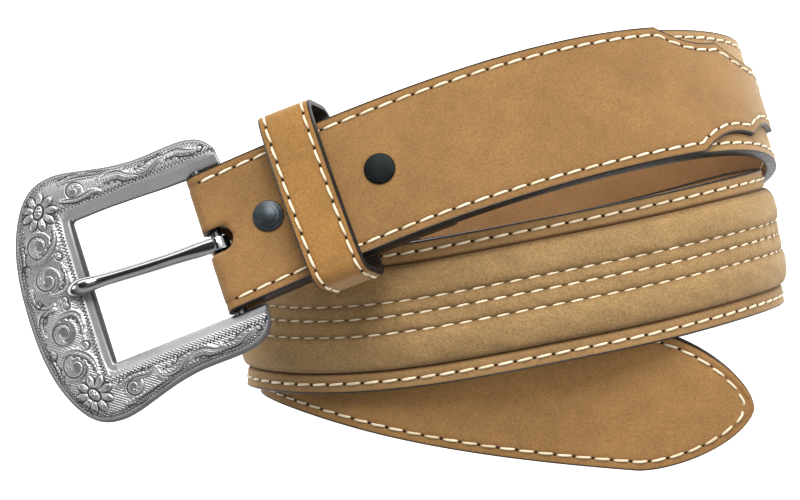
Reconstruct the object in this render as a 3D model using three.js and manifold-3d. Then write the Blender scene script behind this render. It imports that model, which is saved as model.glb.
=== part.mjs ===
// A western belt, coiled as it is stored and lying on the round side of the coil.
// Units are millimetres, +Z is up. The finished face of the strap looks away from the coil's middle.
// The photograph's up is +Y and its right is +X, so the view down -Z shows the front passes.
import * as THREE from 'three';
import { mergeVertices } from 'three/addons/utils/BufferGeometryUtils.js';
import Module from 'manifold-3d';

const wasm = await Module();
wasm.setup();

// Strap
const STRAP_WIDTH = 38.1;
const HALF_WIDTH = STRAP_WIDTH / 2;
const STRAP_END = 954.5;
const PLY_START = 9.2;
const EDGE_BEVEL = 0.4;
const STATION_STEP = 8;
const NEAR_END = 0.2;
const HALF_STEP = 0.5;
const WELD = 1e-4;

// Plies, as heights from the middle strap's finished face
const PLY_GAP = 0.3;
const MIDDLE_THICK = 1.6;
const LINING_THICK = 1.2;
const BILLET_THICK = 1.4;
const LINING_OUT = -MIDDLE_THICK - PLY_GAP;
const LINING_IN = LINING_OUT - LINING_THICK;
const BILLET_IN = PLY_GAP;
const BILLET_OUT = BILLET_IN + BILLET_THICK;
const BACK_LEG_IN = LINING_IN - PLY_GAP;
const BACK_LEG_OUT = BACK_LEG_IN - BILLET_THICK;

// Fold of the buckle billet round the bar
const FOLD_INNER = (BILLET_IN - BACK_LEG_IN) / 2;
const FOLD_OUTER = FOLD_INNER + BILLET_THICK;
const BAR_HEIGHT = (BILLET_IN + BACK_LEG_IN) / 2;
const BAR_RADIUS = 1.5;
const FOLD_SKEW = THREE.MathUtils.degToRad(3.5);
const SKEW_END = 41.5;
const BACK_LEG_END = 64;
const SLOT_ACROSS = -0.1;
const SLOT_HALF = 3.4;
const SLOT_END = 9.3;
const SLOT_CUT = { before: 6, depth: 16, above: 6, steps: 8 };
const BEND_STEP = 20;

// Scalloped tongue at the inner end of each billet: the length of each scallop, the half widths
// where it starts and ends, and how far it dips between them
const TONGUE = [
  { length: 22.5, from: HALF_WIDTH, to: 14.4, dip: 1.0 },
  { length: 20.5, from: 14.4, to: 9.8, dip: 0.8 },
  { length: 19, from: 9.8, to: 0.6, dip: -0.6 },
];
const SCALLOP_SHARES = [0.1, 0.22, 0.38, 0.6, 0.85, 1];
const SCALLOP_FALL = 2.4;
const BUCKLE_TONGUE_START = 137;
const TIP_TONGUE_START = 725.5;

// Pointed tip
const TIP_LENGTH = 30;
const TIP_NOSE = 0.2;
const TIP_CURVE = 1.5;
const TIP_FULLNESS = 0.6;
const TIP_SHARES = [0.9, 0.75, 0.6, 0.45, 0.32, 0.2, 0.11, 0.04];
const HOLE_RADIUS = 2.4;
const HOLE_PITCH = 25.4;
const HOLE_FIRST = 108;
const HOLE_COUNT = 5;
const PUNCH_LENGTH = 14;
const PUNCH_SIDES = 10;

// Padded panel: its section, with valleys where the three rows of stitching pull it down
const PANEL_FROM = 364.5;
const PANEL_TO = 653.5;
const PANEL_ROUND = 24;
const PANEL_FLOOR = 0.55;
const PANEL_END_WIDTH = 0.12;
const PANEL_END_PUFF = 0.5;
const PANEL_END_OFFSETS = [0, 1.5, 4, 8, 13, 18];
const PANEL_SECTION = [
  { across: -13.4, height: 1.0 },
  { across: -11.4, height: 1.9 },
  { across: -7.6, height: 2.3 },
  { across: -3.9, height: 1.3 },
  { across: -1.6, height: 2.0 },
  { across: 0.6, height: 1.3 },
  { across: 2.5, height: 1.9 },
  { across: 4.3, height: 1.3 },
  { across: 8.0, height: 2.3 },
  { across: 11.4, height: 1.9 },
  { across: 13.4, height: 1.0 },
];

// Keeper loop
const KEEPER_AT = 33;
const KEEPER_LONG = 14.2;
const KEEPER_SLANT = 0.22;
const KEEPER_THICK = 1.6;
const KEEPER_TURN = THREE.MathUtils.degToRad(-2);
const KEEPER_HALF = 24.6;
const KEEPER_ROOM = 6.6;
const KEEPER_CORNER = 2.6;
const KEEPER_CROWN = 1.2;
const KEEPER_CROWN_AT = [0.6, 0.2, -0.2, -0.6];
const CORNER_STEPS = 3;

// Snaps
const SNAPS = [
  { s: 18.2, across: 0.4 },
  { s: 49.8, across: 0.6 },
];
const SNAP_CAP = [
  { radius: 4.1, height: 0 },
  { radius: 4.2, height: 0.35 },
  { radius: 3.7, height: 0.85 },
  { radius: 2.4, height: 1.25 },
];
const SNAP_TOP = 1.4;
const SNAP_BACK_RADIUS = 4.6;
const SNAP_BACK_HEIGHT = 0.9;
const SNAP_BACK_BEVEL = 0.35;
const SNAP_SIDES = 16;

// Coil: the middle of the strap's finished face against its arc length, with the direction across
// the strap as its lean from +Y towards -X and its tip up from the floor, in degrees
const COIL = [
  { s: 0, x: -53.8, y: 0.2, z: 102.0, lean: 21.4, tip: -15.5 },
  { s: 21.5, x: -34.0, y: 8.8, z: 103.2, lean: 21.4, tip: -15.5 },
  { s: 41.5, x: -15.6, y: 16.5, z: 104.4, lean: 21.4, tip: -15.5 },
  { s: 63.5, x: 4.7, y: 24.3, z: 105.6, lean: 21.4, tip: -15.5 },
  { s: 91.5, x: 31.1, y: 32.9, z: 103.5, lean: 19.0, tip: -13.5 },
  { s: 121.5, x: 57.8, y: 39.5, z: 93.6, lean: 19.7, tip: -15.0 },
  { s: 146.5, x: 77.9, y: 42.6, z: 79.6, lean: 22.0, tip: -17.8 },
  { s: 166.5, x: 90.8, y: 42.6, z: 64.4, lean: 20.2, tip: -16.8 },
  { s: 186.5, x: 97.5, y: 39.8, z: 46.0, lean: 15.0, tip: -12.1 },
  { s: 209.5, x: 93.5, y: 34.5, z: 24.2, lean: 15.5, tip: -8.6 },
  { s: 236.5, x: 75.3, y: 26.4, z: 6.3, lean: 19.7, tip: -2.8 },
  { s: 263.5, x: 51.0, y: 16.1, z: 0, lean: 22.8, tip: 0 },
  { s: 297.5, x: 19.6, y: 3.0, z: 0, lean: 22.6, tip: 0 },
  { s: 329.5, x: -10.0, y: -9.0, z: 0, lean: 20.6, tip: 0 },
  { s: 342.5, x: -21.9, y: -13.3, z: 0, lean: 18.5, tip: 0 },
  { s: 363.5, x: -37.5, y: -17.0, z: 11.6, lean: 11.0, tip: -0.6 },
  { s: 388.5, x: -44.2, y: -18.5, z: 35.8, lean: 2.4, tip: 0.2 },
  { s: 413.5, x: -43.4, y: -19.3, z: 61.0, lean: -4.5, tip: 0.9 },
  { s: 438.5, x: -30.6, y: -20.2, z: 82.2, lean: 1.2, tip: 2.6 },
  { s: 468.5, x: -4.8, y: -18.4, z: 97.1, lean: 9.1, tip: 4.0 },
  { s: 503.5, x: 29.6, y: -12.4, z: 100.8, lean: 10.9, tip: -0.5 },
  { s: 538.5, x: 63.3, y: -5.7, z: 94.9, lean: 11.6, tip: 0.4 },
  { s: 568.5, x: 88.0, y: 0.0, z: 79.2, lean: 9.6, tip: 3.5 },
  { s: 596.5, x: 100.6, y: 3.3, z: 54.9, lean: 10.0, tip: 3.7 },
  { s: 623.5, x: 96.5, y: 3.4, z: 28.9, lean: 15.9, tip: 2.7 },
  { s: 653.5, x: 74.7, y: -2.5, z: 10.0, lean: 14.5, tip: 1.1 },
  { s: 693.5, x: 36.6, y: -11.0, z: 6.0, lean: 11.0, tip: 0 },
  { s: 733.5, x: -2.3, y: -17.3, z: 9.5, lean: 8.2, tip: -4.5 },
  { s: 763.5, x: -27.7, y: -19.5, z: 22.7, lean: 4.0, tip: -3.0 },
  { s: 793.5, x: -39.1, y: -20.9, z: 47.7, lean: -3.9, tip: 3.4 },
  { s: 823.5, x: -29.9, y: -24.6, z: 73.7, lean: -8.6, tip: 9.0 },
  { s: 853.5, x: -6.4, y: -31.0, z: 88.0, lean: -9.7, tip: 11.1 },
  { s: 898.5, x: 36.4, y: -38.2, z: 88.4, lean: -7.8, tip: 8.6 },
  { s: 954.5, x: 91.4, y: -42.9, z: 83.3, lean: -3.5, tip: 9.0 },
];
const REST_FROM = 263.5;
const REST_TO = 341.5;
const REST_BLEND = 16;

// Buckle frame, in its own plane: across is along the bar, away is from the bar to the far bar.
// Each row pairs a point of the window's edge with one of the outline, for half of the frame.
const FRAME_DROOP = THREE.MathUtils.degToRad(6);
const FRAME_ROWS = [
  { inAcross: 21.1, inAway: -6.9, outAcross: 25.4, outAway: -6.4 },
  { inAcross: 21.1, inAway: -4.1, outAcross: 28.3, outAway: -3.9 },
  { inAcross: 21.1, inAway: 0.7, outAcross: 30, outAway: 1.1 },
  { inAcross: 21.1, inAway: 7.5, outAcross: 30.2, outAway: 8.1 },
  { inAcross: 21.1, inAway: 13.7, outAcross: 30.2, outAway: 14.3 },
  { inAcross: 21.1, inAway: 19.5, outAcross: 30.9, outAway: 20.5 },
  { inAcross: 21.1, inAway: 25.1, outAcross: 32.3, outAway: 26.7 },
  { inAcross: 21.1, inAway: 30.8, outAcross: 33.8, outAway: 32.3 },
  { inAcross: 21.1, inAway: 34, outAcross: 34.7, outAway: 37.3 },
  { inAcross: 21.1, inAway: 35.6, outAcross: 34.3, outAway: 42.1 },
  { inAcross: 20.85, inAway: 36.15, outAcross: 32.6, outAway: 45.7 },
  { inAcross: 20.3, inAway: 36.4, outAcross: 29.2, outAway: 48.9 },
  { inAcross: 16.6, inAway: 36.4, outAcross: 23.6, outAway: 51.9 },
  { inAcross: 11.8, inAway: 36.4, outAcross: 16.6, outAway: 54.1 },
  { inAcross: 6, inAway: 36.4, outAcross: 8.4, outAway: 55.3 },
  { inAcross: 0, inAway: 36.4, outAcross: 0, outAway: 55.6 },
];
const FRAME_BACK = -1.6;
const FRAME_STEPS = 2;
const BAR_SET_IN = 1;
const BAR_SIDES = 16;

// Section of the frame from the window to the outline: the share of its width, an inset from the
// nearer edge, and the height above the bar's middle
const FRAME_SECTION = [
  { share: 0, inset: 0, height: FRAME_BACK },
  { share: 0, inset: 0, height: 0.3 },
  { share: 0, inset: 1.8, height: 1.6 },
  { share: 0.5, inset: 0, height: 2.0 },
  { share: 1, inset: -1.6, height: 1.5 },
  { share: 1, inset: 0, height: 0.2 },
  { share: 1, inset: -0.5, height: FRAME_BACK },
];

// Raised ornament on the frame: a five-petalled flower in each far corner and curling leaves
const FLOWER_ACROSS = 26.2;
const FLOWER_AWAY = 43.9;
const FLOWER_PETALS = 5;
const MOUND_SIDES = 7;
const MOUND_RINGS = 4;
const PETAL = { out: 3.1, long: 2.5, wide: 1.9, high: 1.0, base: 1.55 };
const HEART = { radius: 1.5, high: 1.35, base: 1.85 };
const LEAVES = [
  { across: 25.6, away: 3.0, turn: 96, size: 1.0, curl: 1 },
  { across: 25.9, away: 16.0, turn: 84, size: 1.0, curl: -1 },
  { across: 26.8, away: 29.5, turn: 78, size: 1.05, curl: 1 },
  { across: 14.6, away: 45.0, turn: 176, size: 1.15, curl: 1 },
  { across: 5.2, away: 46.3, turn: 4, size: 1.1, curl: -1 },
];
const LEAF = { length: 8.4, wide: 1.7, high: 0.9, bend: 2.4, steps: 6, sides: 6, base: 1.55 };
const LEAF_SWELL = { from: 0.06, span: 0.88, power: 0.8 };

// Prong, in the frame's own axes: distance from the bar, height, half width and half thickness
const PRONG_YAW = THREE.MathUtils.degToRad(4);
const PRONG_ACROSS = -0.7;
const PRONG_LOOP_IN = BAR_RADIUS + 0.3;
const PRONG_LOOP_OUT = 3.1;
const PRONG_LOOP_HALF = 1.8;
const PRONG_SIDES = 10;
const PRONG_LOOP_STEPS = 10;
const PRONG_ROD = [
  { away: -0.6, height: 2.35, half: 1.6, thick: 0.7 },
  { away: 3, height: 2.4, half: 1.9, thick: 1.0 },
  { away: 8, height: 2.5, half: 1.8, thick: 1.25 },
  { away: 18, height: 2.75, half: 1.75, thick: 1.3 },
  { away: 28, height: 3.3, half: 1.8, thick: 1.3 },
  { away: 34, height: 3.75, half: 2.0, thick: 1.3 },
  { away: 37.5, height: 3.95, half: 2.25, thick: 1.3 },
  { away: 40.2, height: 3.95, half: 2.1, thick: 1.2 },
  { away: 41.6, height: 3.8, half: 1.3, thick: 0.8 },
];

// Looks
const NUBUCK = { color: 0xb4895a, roughness: 0.9, metalness: 0 };
const NUBUCK_GOLD = { color: 0xb58b58, roughness: 0.9, metalness: 0 };
const SUEDE = { color: 0xb0936b, roughness: 0.97, metalness: 0 };
const LINING = { color: 0x966f49, roughness: 0.75, metalness: 0 };
const SILVER = { color: 0xbfc0c0, roughness: 0.28, metalness: 1 };
const GUNMETAL = { color: 0x5a6068, roughness: 0.35, metalness: 1 };

// Natural cubic spline through the values, as a function of the position
function naturalSpline(at, value) {
  const last = at.length - 1;
  const bend = new Array(at.length).fill(0);
  const upper = new Array(at.length).fill(0);
  for (let i = 1; i < last; i++) {
    const left = at[i] - at[i - 1];
    const right = at[i + 1] - at[i];
    const pivot = 2 * (left + right) - left * upper[i - 1];
    const jump = (value[i + 1] - value[i]) / right - (value[i] - value[i - 1]) / left;
    upper[i] = right / pivot;
    bend[i] = (6 * jump - left * bend[i - 1]) / pivot;
  }
  for (let i = last - 1; i > 0; i--) bend[i] -= upper[i] * bend[i + 1];
  return (x) => {
    let i = 0;
    while (i < last - 1 && x > at[i + 1]) i++;
    const step = at[i + 1] - at[i];
    const b = (x - at[i]) / step;
    const a = 1 - b;
    const cubic = ((a ** 3 - a) * bend[i] + (b ** 3 - b) * bend[i + 1]) * step * step / 6;
    return a * value[i] + b * value[i + 1] + cubic;
  };
}

function splineOf(rows, at, key) {
  return naturalSpline(rows.map((row) => row[at]), rows.map((row) => row[key]));
}

const coil = {};
for (const key of ['x', 'y', 'z', 'lean', 'tip']) coil[key] = splineOf(COIL, 's', key);

// The leather is flat where the coil rests on the floor
function offFloor(s) {
  const before = THREE.MathUtils.smoothstep(s, REST_FROM - REST_BLEND, REST_FROM);
  const after = 1 - THREE.MathUtils.smoothstep(s, REST_TO, REST_TO + REST_BLEND);
  return 1 - Math.min(before, after);
}

function middleAt(s) {
  return new THREE.Vector3(coil.x(s), coil.y(s), Math.max(0, coil.z(s)) * offFloor(s));
}

// Frame of the strap: along its length, across it and out of its finished face
function strapFrame(s) {
  const lean = THREE.MathUtils.degToRad(coil.lean(s));
  const tip = THREE.MathUtils.degToRad(coil.tip(s)) * offFloor(s);
  const along = middleAt(s + HALF_STEP).sub(middleAt(s - HALF_STEP)).normalize();
  const across = new THREE.Vector3(-Math.sin(lean) * Math.cos(tip), Math.cos(lean) * Math.cos(tip), Math.sin(tip));
  across.addScaledVector(along, -across.dot(along)).normalize();
  const out = new THREE.Vector3().crossVectors(along, across);
  return { middle: middleAt(s), along, across, out };
}

// A point of the strap. Near the fold the rulings lie askew, parallel to the buckle's bar.
function strapPoint(s, across, height) {
  const frame = strapFrame(s);
  const askew = 1 - THREE.MathUtils.smoothstep(s, FOLD_OUTER, SKEW_END);
  return frame.middle
    .addScaledVector(frame.across, across)
    .addScaledVector(frame.along, across * Math.tan(FOLD_SKEW) * askew)
    .addScaledVector(frame.out, height);
}

// A closed body from rings of points, with flat caps unless the rings close on themselves. A ring's
// last side runs back under the others, so its quads are split the other way: then the faces of
// two plies that lie on each other stay parallel where the strap twists.
function loft(rings, closesOnItself = false) {
  const count = rings[0].length;
  const position = rings.flat().flatMap((point) => point.toArray());
  const index = [];
  const spans = closesOnItself ? rings.length : rings.length - 1;
  for (let r = 0; r < spans; r++) {
    const next = (r + 1) % rings.length;
    for (let i = 0; i < count; i++) {
      const j = (i + 1) % count;
      const corner = [r * count + i, r * count + j, next * count + j, next * count + i];
      if (j === 0) corner.unshift(corner.pop());
      index.push(corner[0], corner[1], corner[2], corner[0], corner[2], corner[3]);
    }
  }
  if (!closesOnItself) {
    const end = (rings.length - 1) * count;
    for (let i = 1; i < count - 1; i++) {
      index.push(0, i + 1, i);
      index.push(end, end + i, end + i + 1);
    }
  }
  const geometry = new THREE.BufferGeometry();
  geometry.setAttribute('position', new THREE.Float32BufferAttribute(position, 3));
  geometry.setIndex(signedVolume(position, index) < 0 ? index.reverse() : index);
  return geometry;
}

function signedVolume(position, index) {
  const corner = [new THREE.Vector3(), new THREE.Vector3(), new THREE.Vector3()];
  let volume = 0;
  for (let i = 0; i < index.length; i += 3) {
    corner.forEach((point, k) => point.fromArray(position, index[i + k] * 3));
    volume += corner[0].dot(corner[1].cross(corner[2])) / 6;
  }
  return volume;
}

// Solids for joining and cutting
function solidOf(geometry) {
  const bare = geometry.clone();
  bare.deleteAttribute('normal');
  bare.deleteAttribute('uv');
  const merged = mergeVertices(bare, WELD);
  const vertProperties = new Float32Array(merged.attributes.position.array);
  const triVerts = new Uint32Array(merged.index.array);
  return new wasm.Manifold(new wasm.Mesh({ numProp: 3, vertProperties, triVerts }));
}

function geometryOf(solid) {
  const mesh = solid.getMesh();
  const geometry = new THREE.BufferGeometry();
  geometry.setAttribute('position', new THREE.BufferAttribute(new Float32Array(mesh.vertProperties), 3));
  geometry.setIndex(new THREE.BufferAttribute(new Uint32Array(mesh.triVerts), 1));
  return geometry;
}

// Arc lengths of a piece's rings: its two ends, and between them the stations that all plies share
function stationsBetween(from, to, step = STATION_STEP) {
  const stations = [from];
  const first = (Math.floor(from / step + NEAR_END) + 1) * step;
  for (let s = first; s < to - NEAR_END * step; s += step) stations.push(s);
  return [...stations, to];
}

// Section of a ply: square at its inner face, bevelled at its outer face
function plySection(s, half, inner, outer) {
  const bevel = Math.min(EDGE_BEVEL, half / 3) * Math.sign(outer - inner);
  const side = Math.abs(bevel);
  return [
    strapPoint(s, -half, inner),
    strapPoint(s, -half, outer - bevel),
    strapPoint(s, -half + side, outer),
    strapPoint(s, half - side, outer),
    strapPoint(s, half, outer - bevel),
    strapPoint(s, half, inner),
  ];
}

// Half width of the pointed tip, and the arc lengths that describe it
function tipHalf(s) {
  const back = THREE.MathUtils.clamp((STRAP_END - s) / TIP_LENGTH, 0, 1);
  return HALF_WIDTH * (1 - (1 - back) ** TIP_CURVE) ** TIP_FULLNESS;
}

function tipStations() {
  return [...TIP_SHARES.map((share) => STRAP_END - share * TIP_LENGTH), STRAP_END - TIP_NOSE];
}

// Punches for the prong holes
function holePunches() {
  const punches = [];
  for (let i = 0; i < HOLE_COUNT; i++) {
    const s = STRAP_END - HOLE_FIRST - i * HOLE_PITCH;
    const frame = strapFrame(s);
    const punch = new THREE.CylinderGeometry(HOLE_RADIUS, HOLE_RADIUS, PUNCH_LENGTH, PUNCH_SIDES);
    punch.applyMatrix4(new THREE.Matrix4().makeBasis(frame.along, frame.out, frame.across.negate()));
    punch.translate(...frame.middle.toArray());
    punches.push(solidOf(punch));
  }
  return punches;
}

function punched(geometry) {
  let solid = solidOf(geometry);
  for (const punch of holePunches()) solid = solid.subtract(punch);
  return geometryOf(solid);
}

// The two full-length plies
function middleStrap() {
  const body = stationsBetween(PLY_START, STRAP_END - TIP_LENGTH);
  const rings = [...body, ...tipStations()].map((s) => plySection(s, tipHalf(s), -MIDDLE_THICK, 0));
  return punched(loft(rings));
}

function lining() {
  const body = stationsBetween(PLY_START, STRAP_END - TIP_LENGTH);
  const rings = [...body, ...tipStations()].map((s) => {
    const half = tipHalf(s);
    const corners = [[-half, LINING_IN], [-half, LINING_OUT], [half, LINING_OUT], [half, LINING_IN]];
    return corners.map(([across, height]) => strapPoint(s, across, height));
  });
  return punched(loft(rings));
}

// Buckle billet: back leg, bend round the bar, front leg and tongue
function bendSection(turn) {
  const angle = THREE.MathUtils.degToRad(turn);
  const outer = FOLD_OUTER;
  const inner = FOLD_INNER;
  const at = (across, radius) => {
    const point = strapPoint(FOLD_OUTER, across, BAR_HEIGHT - Math.cos(angle) * radius);
    return point.addScaledVector(strapFrame(FOLD_OUTER).along, -Math.sin(angle) * radius);
  };
  return [
    at(-HALF_WIDTH, inner),
    at(-HALF_WIDTH, outer - EDGE_BEVEL),
    at(-HALF_WIDTH + EDGE_BEVEL, outer),
    at(HALF_WIDTH - EDGE_BEVEL, outer),
    at(HALF_WIDTH, outer - EDGE_BEVEL),
    at(HALF_WIDTH, inner),
  ];
}

// Rows of the tongue: the distance past the full width, and the half width there
function tongueRows() {
  const rows = [];
  let past = 0;
  for (const { length, from, to, dip } of TONGUE) {
    for (const share of SCALLOP_SHARES) {
      const fall = (1 - share) ** (dip > 0 ? SCALLOP_FALL : 1);
      rows.push({ past: past + share * length, half: to + (from - to) * fall - dip * Math.sin(Math.PI * share) });
    }
    past += length;
  }
  return rows;
}

function slotCutter() {
  const outline = new THREE.Shape();
  const straight = SLOT_END - SLOT_HALF;
  outline.moveTo(-SLOT_CUT.before, -SLOT_HALF);
  outline.lineTo(straight, -SLOT_HALF);
  outline.absarc(straight, 0, SLOT_HALF, -Math.PI / 2, Math.PI / 2, false);
  outline.lineTo(-SLOT_CUT.before, SLOT_HALF);
  outline.closePath();
  const options = { depth: SLOT_CUT.depth, bevelEnabled: false, curveSegments: SLOT_CUT.steps };
  const cutter = new THREE.ExtrudeGeometry(outline, options);
  cutter.translate(0, SLOT_ACROSS, SLOT_CUT.above - SLOT_CUT.depth);
  const frame = strapFrame(FOLD_OUTER);
  cutter.applyMatrix4(new THREE.Matrix4().makeBasis(frame.along, frame.across, frame.out));
  const start = strapPoint(0, 0, 0);
  return solidOf(cutter.translate(...start.toArray()));
}

function buckleBillet() {
  const backLeg = stationsBetween(FOLD_OUTER, BACK_LEG_END).reverse();
  const frontLeg = stationsBetween(FOLD_OUTER, BUCKLE_TONGUE_START);
  const tongue = tongueRows();
  const rings = [
    ...backLeg.slice(0, -1).map((s) => plySection(s, HALF_WIDTH, BACK_LEG_IN, BACK_LEG_OUT)),
    ...stationsBetween(0, 180, BEND_STEP).map(bendSection),
    ...frontLeg.slice(1).map((s) => plySection(s, HALF_WIDTH, BILLET_IN, BILLET_OUT)),
    ...tongue.map((row) => plySection(BUCKLE_TONGUE_START + row.past, row.half, BILLET_IN, BILLET_OUT)),
  ];
  return geometryOf(solidOf(loft(rings)).subtract(slotCutter()));
}

// Tip billet: tongue, then full width to the pointed tip
function tipBillet() {
  const tongue = tongueRows().reverse();
  const body = stationsBetween(TIP_TONGUE_START, STRAP_END - TIP_LENGTH);
  const rings = [
    ...tongue.map((row) => plySection(TIP_TONGUE_START - row.past, row.half, BILLET_IN, BILLET_OUT)),
    ...[...body, ...tipStations()].map((s) => plySection(s, tipHalf(s), BILLET_IN, BILLET_OUT)),
  ];
  return punched(loft(rings));
}

// Padded panel with round ends
function panelSection(s) {
  const fromEnd = Math.min(s - PANEL_FROM, PANEL_TO - s);
  const share = THREE.MathUtils.clamp(1 - fromEnd / PANEL_ROUND, 0, 1);
  const narrow = Math.sqrt(1 - share * share);
  const scale = THREE.MathUtils.lerp(PANEL_END_WIDTH, 1, narrow);
  const fullness = THREE.MathUtils.lerp(PANEL_END_PUFF, 1, narrow);
  const top = PANEL_SECTION.map(({ across, height }) => {
    const puff = PANEL_FLOOR + (height - PANEL_FLOOR) * fullness;
    return strapPoint(s, across * scale, puff);
  });
  const half = PANEL_SECTION.at(-1).across * scale;
  return [strapPoint(s, -half, PANEL_FLOOR), ...top, strapPoint(s, half, PANEL_FLOOR)];
}

function centerPanel() {
  const rings = [
    ...PANEL_END_OFFSETS.map((offset) => PANEL_FROM + offset),
    ...stationsBetween(PANEL_FROM + PANEL_ROUND, PANEL_TO - PANEL_ROUND),
    ...PANEL_END_OFFSETS.map((offset) => PANEL_TO - offset).reverse(),
  ].map(panelSection);
  return loft(rings);
}

// Keeper: a band bent into a loop, with its back run further from the buckle than its front run.
// The front run is crowned, with room for the strap's tip.
function keeperOutline() {
  const floor = BACK_LEG_OUT - PLY_GAP;
  const side = KEEPER_HALF - KEEPER_THICK;
  const crown = BILLET_OUT + KEEPER_ROOM;
  const shoulder = crown - KEEPER_CROWN;
  const points = [];
  const corner = (cx, cy, from) => {
    for (let k = 0; k <= CORNER_STEPS; k++) {
      const angle = THREE.MathUtils.degToRad(from + k * 90 / CORNER_STEPS);
      const out = new THREE.Vector2(Math.cos(angle), Math.sin(angle));
      points.push({ at: new THREE.Vector2(cx, cy).addScaledVector(out, KEEPER_CORNER), out });
    }
  };
  corner(side - KEEPER_CORNER, floor + KEEPER_CORNER, -90);
  corner(side - KEEPER_CORNER, shoulder - KEEPER_CORNER, 0);
  for (const share of KEEPER_CROWN_AT) {
    const out = new THREE.Vector2(2 * share * KEEPER_CROWN / side, 1).normalize();
    points.push({ at: new THREE.Vector2(share * side, crown - share * share * KEEPER_CROWN), out });
  }
  corner(KEEPER_CORNER - side, shoulder - KEEPER_CORNER, 90);
  corner(KEEPER_CORNER - side, floor + KEEPER_CORNER, 180);
  return points;
}

function keeperLoop() {
  const frame = strapFrame(KEEPER_AT);
  const along = frame.along.clone().applyAxisAngle(frame.out, KEEPER_TURN);
  const across = frame.across.clone().applyAxisAngle(frame.out, KEEPER_TURN);
  const half = KEEPER_LONG / 2;
  const place = (point, lengthwise) => frame.middle.clone()
    .addScaledVector(across, point.x)
    .addScaledVector(frame.out, point.y)
    .addScaledVector(along, lengthwise - point.y * KEEPER_SLANT);
  const rings = keeperOutline().map(({ at, out }) => {
    const outer = at.clone().addScaledVector(out, KEEPER_THICK);
    return [place(at, -half), place(outer, -half), place(outer, half), place(at, half)];
  });
  return loft(rings, true);
}

// Snaps, turned about their own axis
function turnedDisc(profile, top) {
  const points = [
    new THREE.Vector2(0, 0),
    ...profile.map(({ radius, height }) => new THREE.Vector2(radius, height)),
    new THREE.Vector2(0, top),
  ];
  const disc = new THREE.LatheGeometry(points, SNAP_SIDES);
  disc.deleteAttribute('normal');
  disc.deleteAttribute('uv');
  return mergeVertices(disc, WELD);
}

function snapCap() {
  return turnedDisc(SNAP_CAP, SNAP_TOP);
}

function snapBack() {
  const rim = [
    { radius: SNAP_BACK_RADIUS, height: 0 },
    { radius: SNAP_BACK_RADIUS, height: SNAP_BACK_HEIGHT - SNAP_BACK_BEVEL },
    { radius: SNAP_BACK_RADIUS - 2 * SNAP_BACK_BEVEL, height: SNAP_BACK_HEIGHT },
  ];
  return turnedDisc(rim, SNAP_BACK_HEIGHT);
}

// Buckle, in its own axes: x across along the bar, y away from the strap, z out of its face
function frameRing() {
  const last = FRAME_ROWS.length - 1;
  const rowAt = FRAME_ROWS.map((row, i) => i);
  const outAcross = naturalSpline(rowAt, FRAME_ROWS.map((row) => row.outAcross));
  const outAway = naturalSpline(rowAt, FRAME_ROWS.map((row) => row.outAway));
  const inner = (t) => {
    const i = Math.min(last - 1, Math.floor(t));
    const here = new THREE.Vector2(FRAME_ROWS[i].inAcross, FRAME_ROWS[i].inAway);
    const next = new THREE.Vector2(FRAME_ROWS[i + 1].inAcross, FRAME_ROWS[i + 1].inAway);
    return here.lerp(next, t - i);
  };
  const halfRows = Array.from({ length: last * FRAME_STEPS + 1 }, (unused, k) => k / FRAME_STEPS);
  const section = (t, mirror) => {
    const edge = inner(t);
    const outline = new THREE.Vector2(outAcross(t), outAway(t));
    const width = outline.distanceTo(edge);
    const way = outline.clone().sub(edge).normalize();
    return FRAME_SECTION.map(({ share, inset, height }) => {
      const point = edge.clone().addScaledVector(way, share * width + inset);
      return new THREE.Vector3(point.x * mirror, point.y, height);
    });
  };
  const oneSide = halfRows.map((t) => section(t, 1));
  const otherSide = halfRows.slice(0, -1).reverse().map((t) => section(t, -1));
  return loft([...oneSide, ...otherSide]);
}

function bar() {
  const length = 2 * (FRAME_ROWS[0].inAcross + BAR_SET_IN);
  return new THREE.CylinderGeometry(BAR_RADIUS, BAR_RADIUS, length, BAR_SIDES).rotateZ(Math.PI / 2);
}

// Low mounds that stand on the frame's crown
function petal(across, away, turn) {
  const mound = new THREE.SphereGeometry(1, MOUND_SIDES, MOUND_RINGS);
  mound.scale(PETAL.long, PETAL.wide, PETAL.high);
  mound.translate(PETAL.out, 0, 0);
  mound.rotateZ(turn);
  return mound.translate(across, away, PETAL.base);
}

function leaf({ across, away, turn, size, curl }) {
  const rings = [];
  for (let k = 0; k <= LEAF.steps; k++) {
    const share = k / LEAF.steps;
    const swell = Math.sin(Math.PI * (LEAF_SWELL.from + LEAF_SWELL.span * share ** LEAF_SWELL.power));
    const centre = new THREE.Vector2((share - 0.5) * LEAF.length, curl * LEAF.bend * Math.sin(Math.PI * share));
    const ring = [];
    for (let i = 0; i < LEAF.sides; i++) {
      const angle = 2 * Math.PI * i / LEAF.sides;
      const wide = Math.cos(angle) * LEAF.wide * swell;
      ring.push(new THREE.Vector3(centre.x, centre.y + wide, Math.sin(angle) * LEAF.high * swell));
    }
    rings.push(ring);
  }
  const shape = loft(rings);
  shape.scale(size, size, 1);
  shape.rotateZ(THREE.MathUtils.degToRad(turn));
  return shape.translate(across, away, LEAF.base);
}

function ornament() {
  const mounds = [];
  const flower = (side) => {
    for (let k = 0; k < FLOWER_PETALS; k++) {
      const turn = Math.PI / 2 + 2 * Math.PI * k / FLOWER_PETALS;
      mounds.push(petal(side * FLOWER_ACROSS, FLOWER_AWAY, turn));
    }
    const heart = new THREE.SphereGeometry(1, MOUND_SIDES, MOUND_RINGS);
    heart.scale(HEART.radius, HEART.radius, HEART.high);
    mounds.push(heart.translate(side * FLOWER_ACROSS, FLOWER_AWAY, HEART.base));
  };
  flower(1);
  flower(-1);
  for (const row of LEAVES) {
    mounds.push(leaf(row));
    mounds.push(leaf({ ...row, across: -row.across, turn: 180 - row.turn, curl: -row.curl }));
  }
  return mounds;
}

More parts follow.
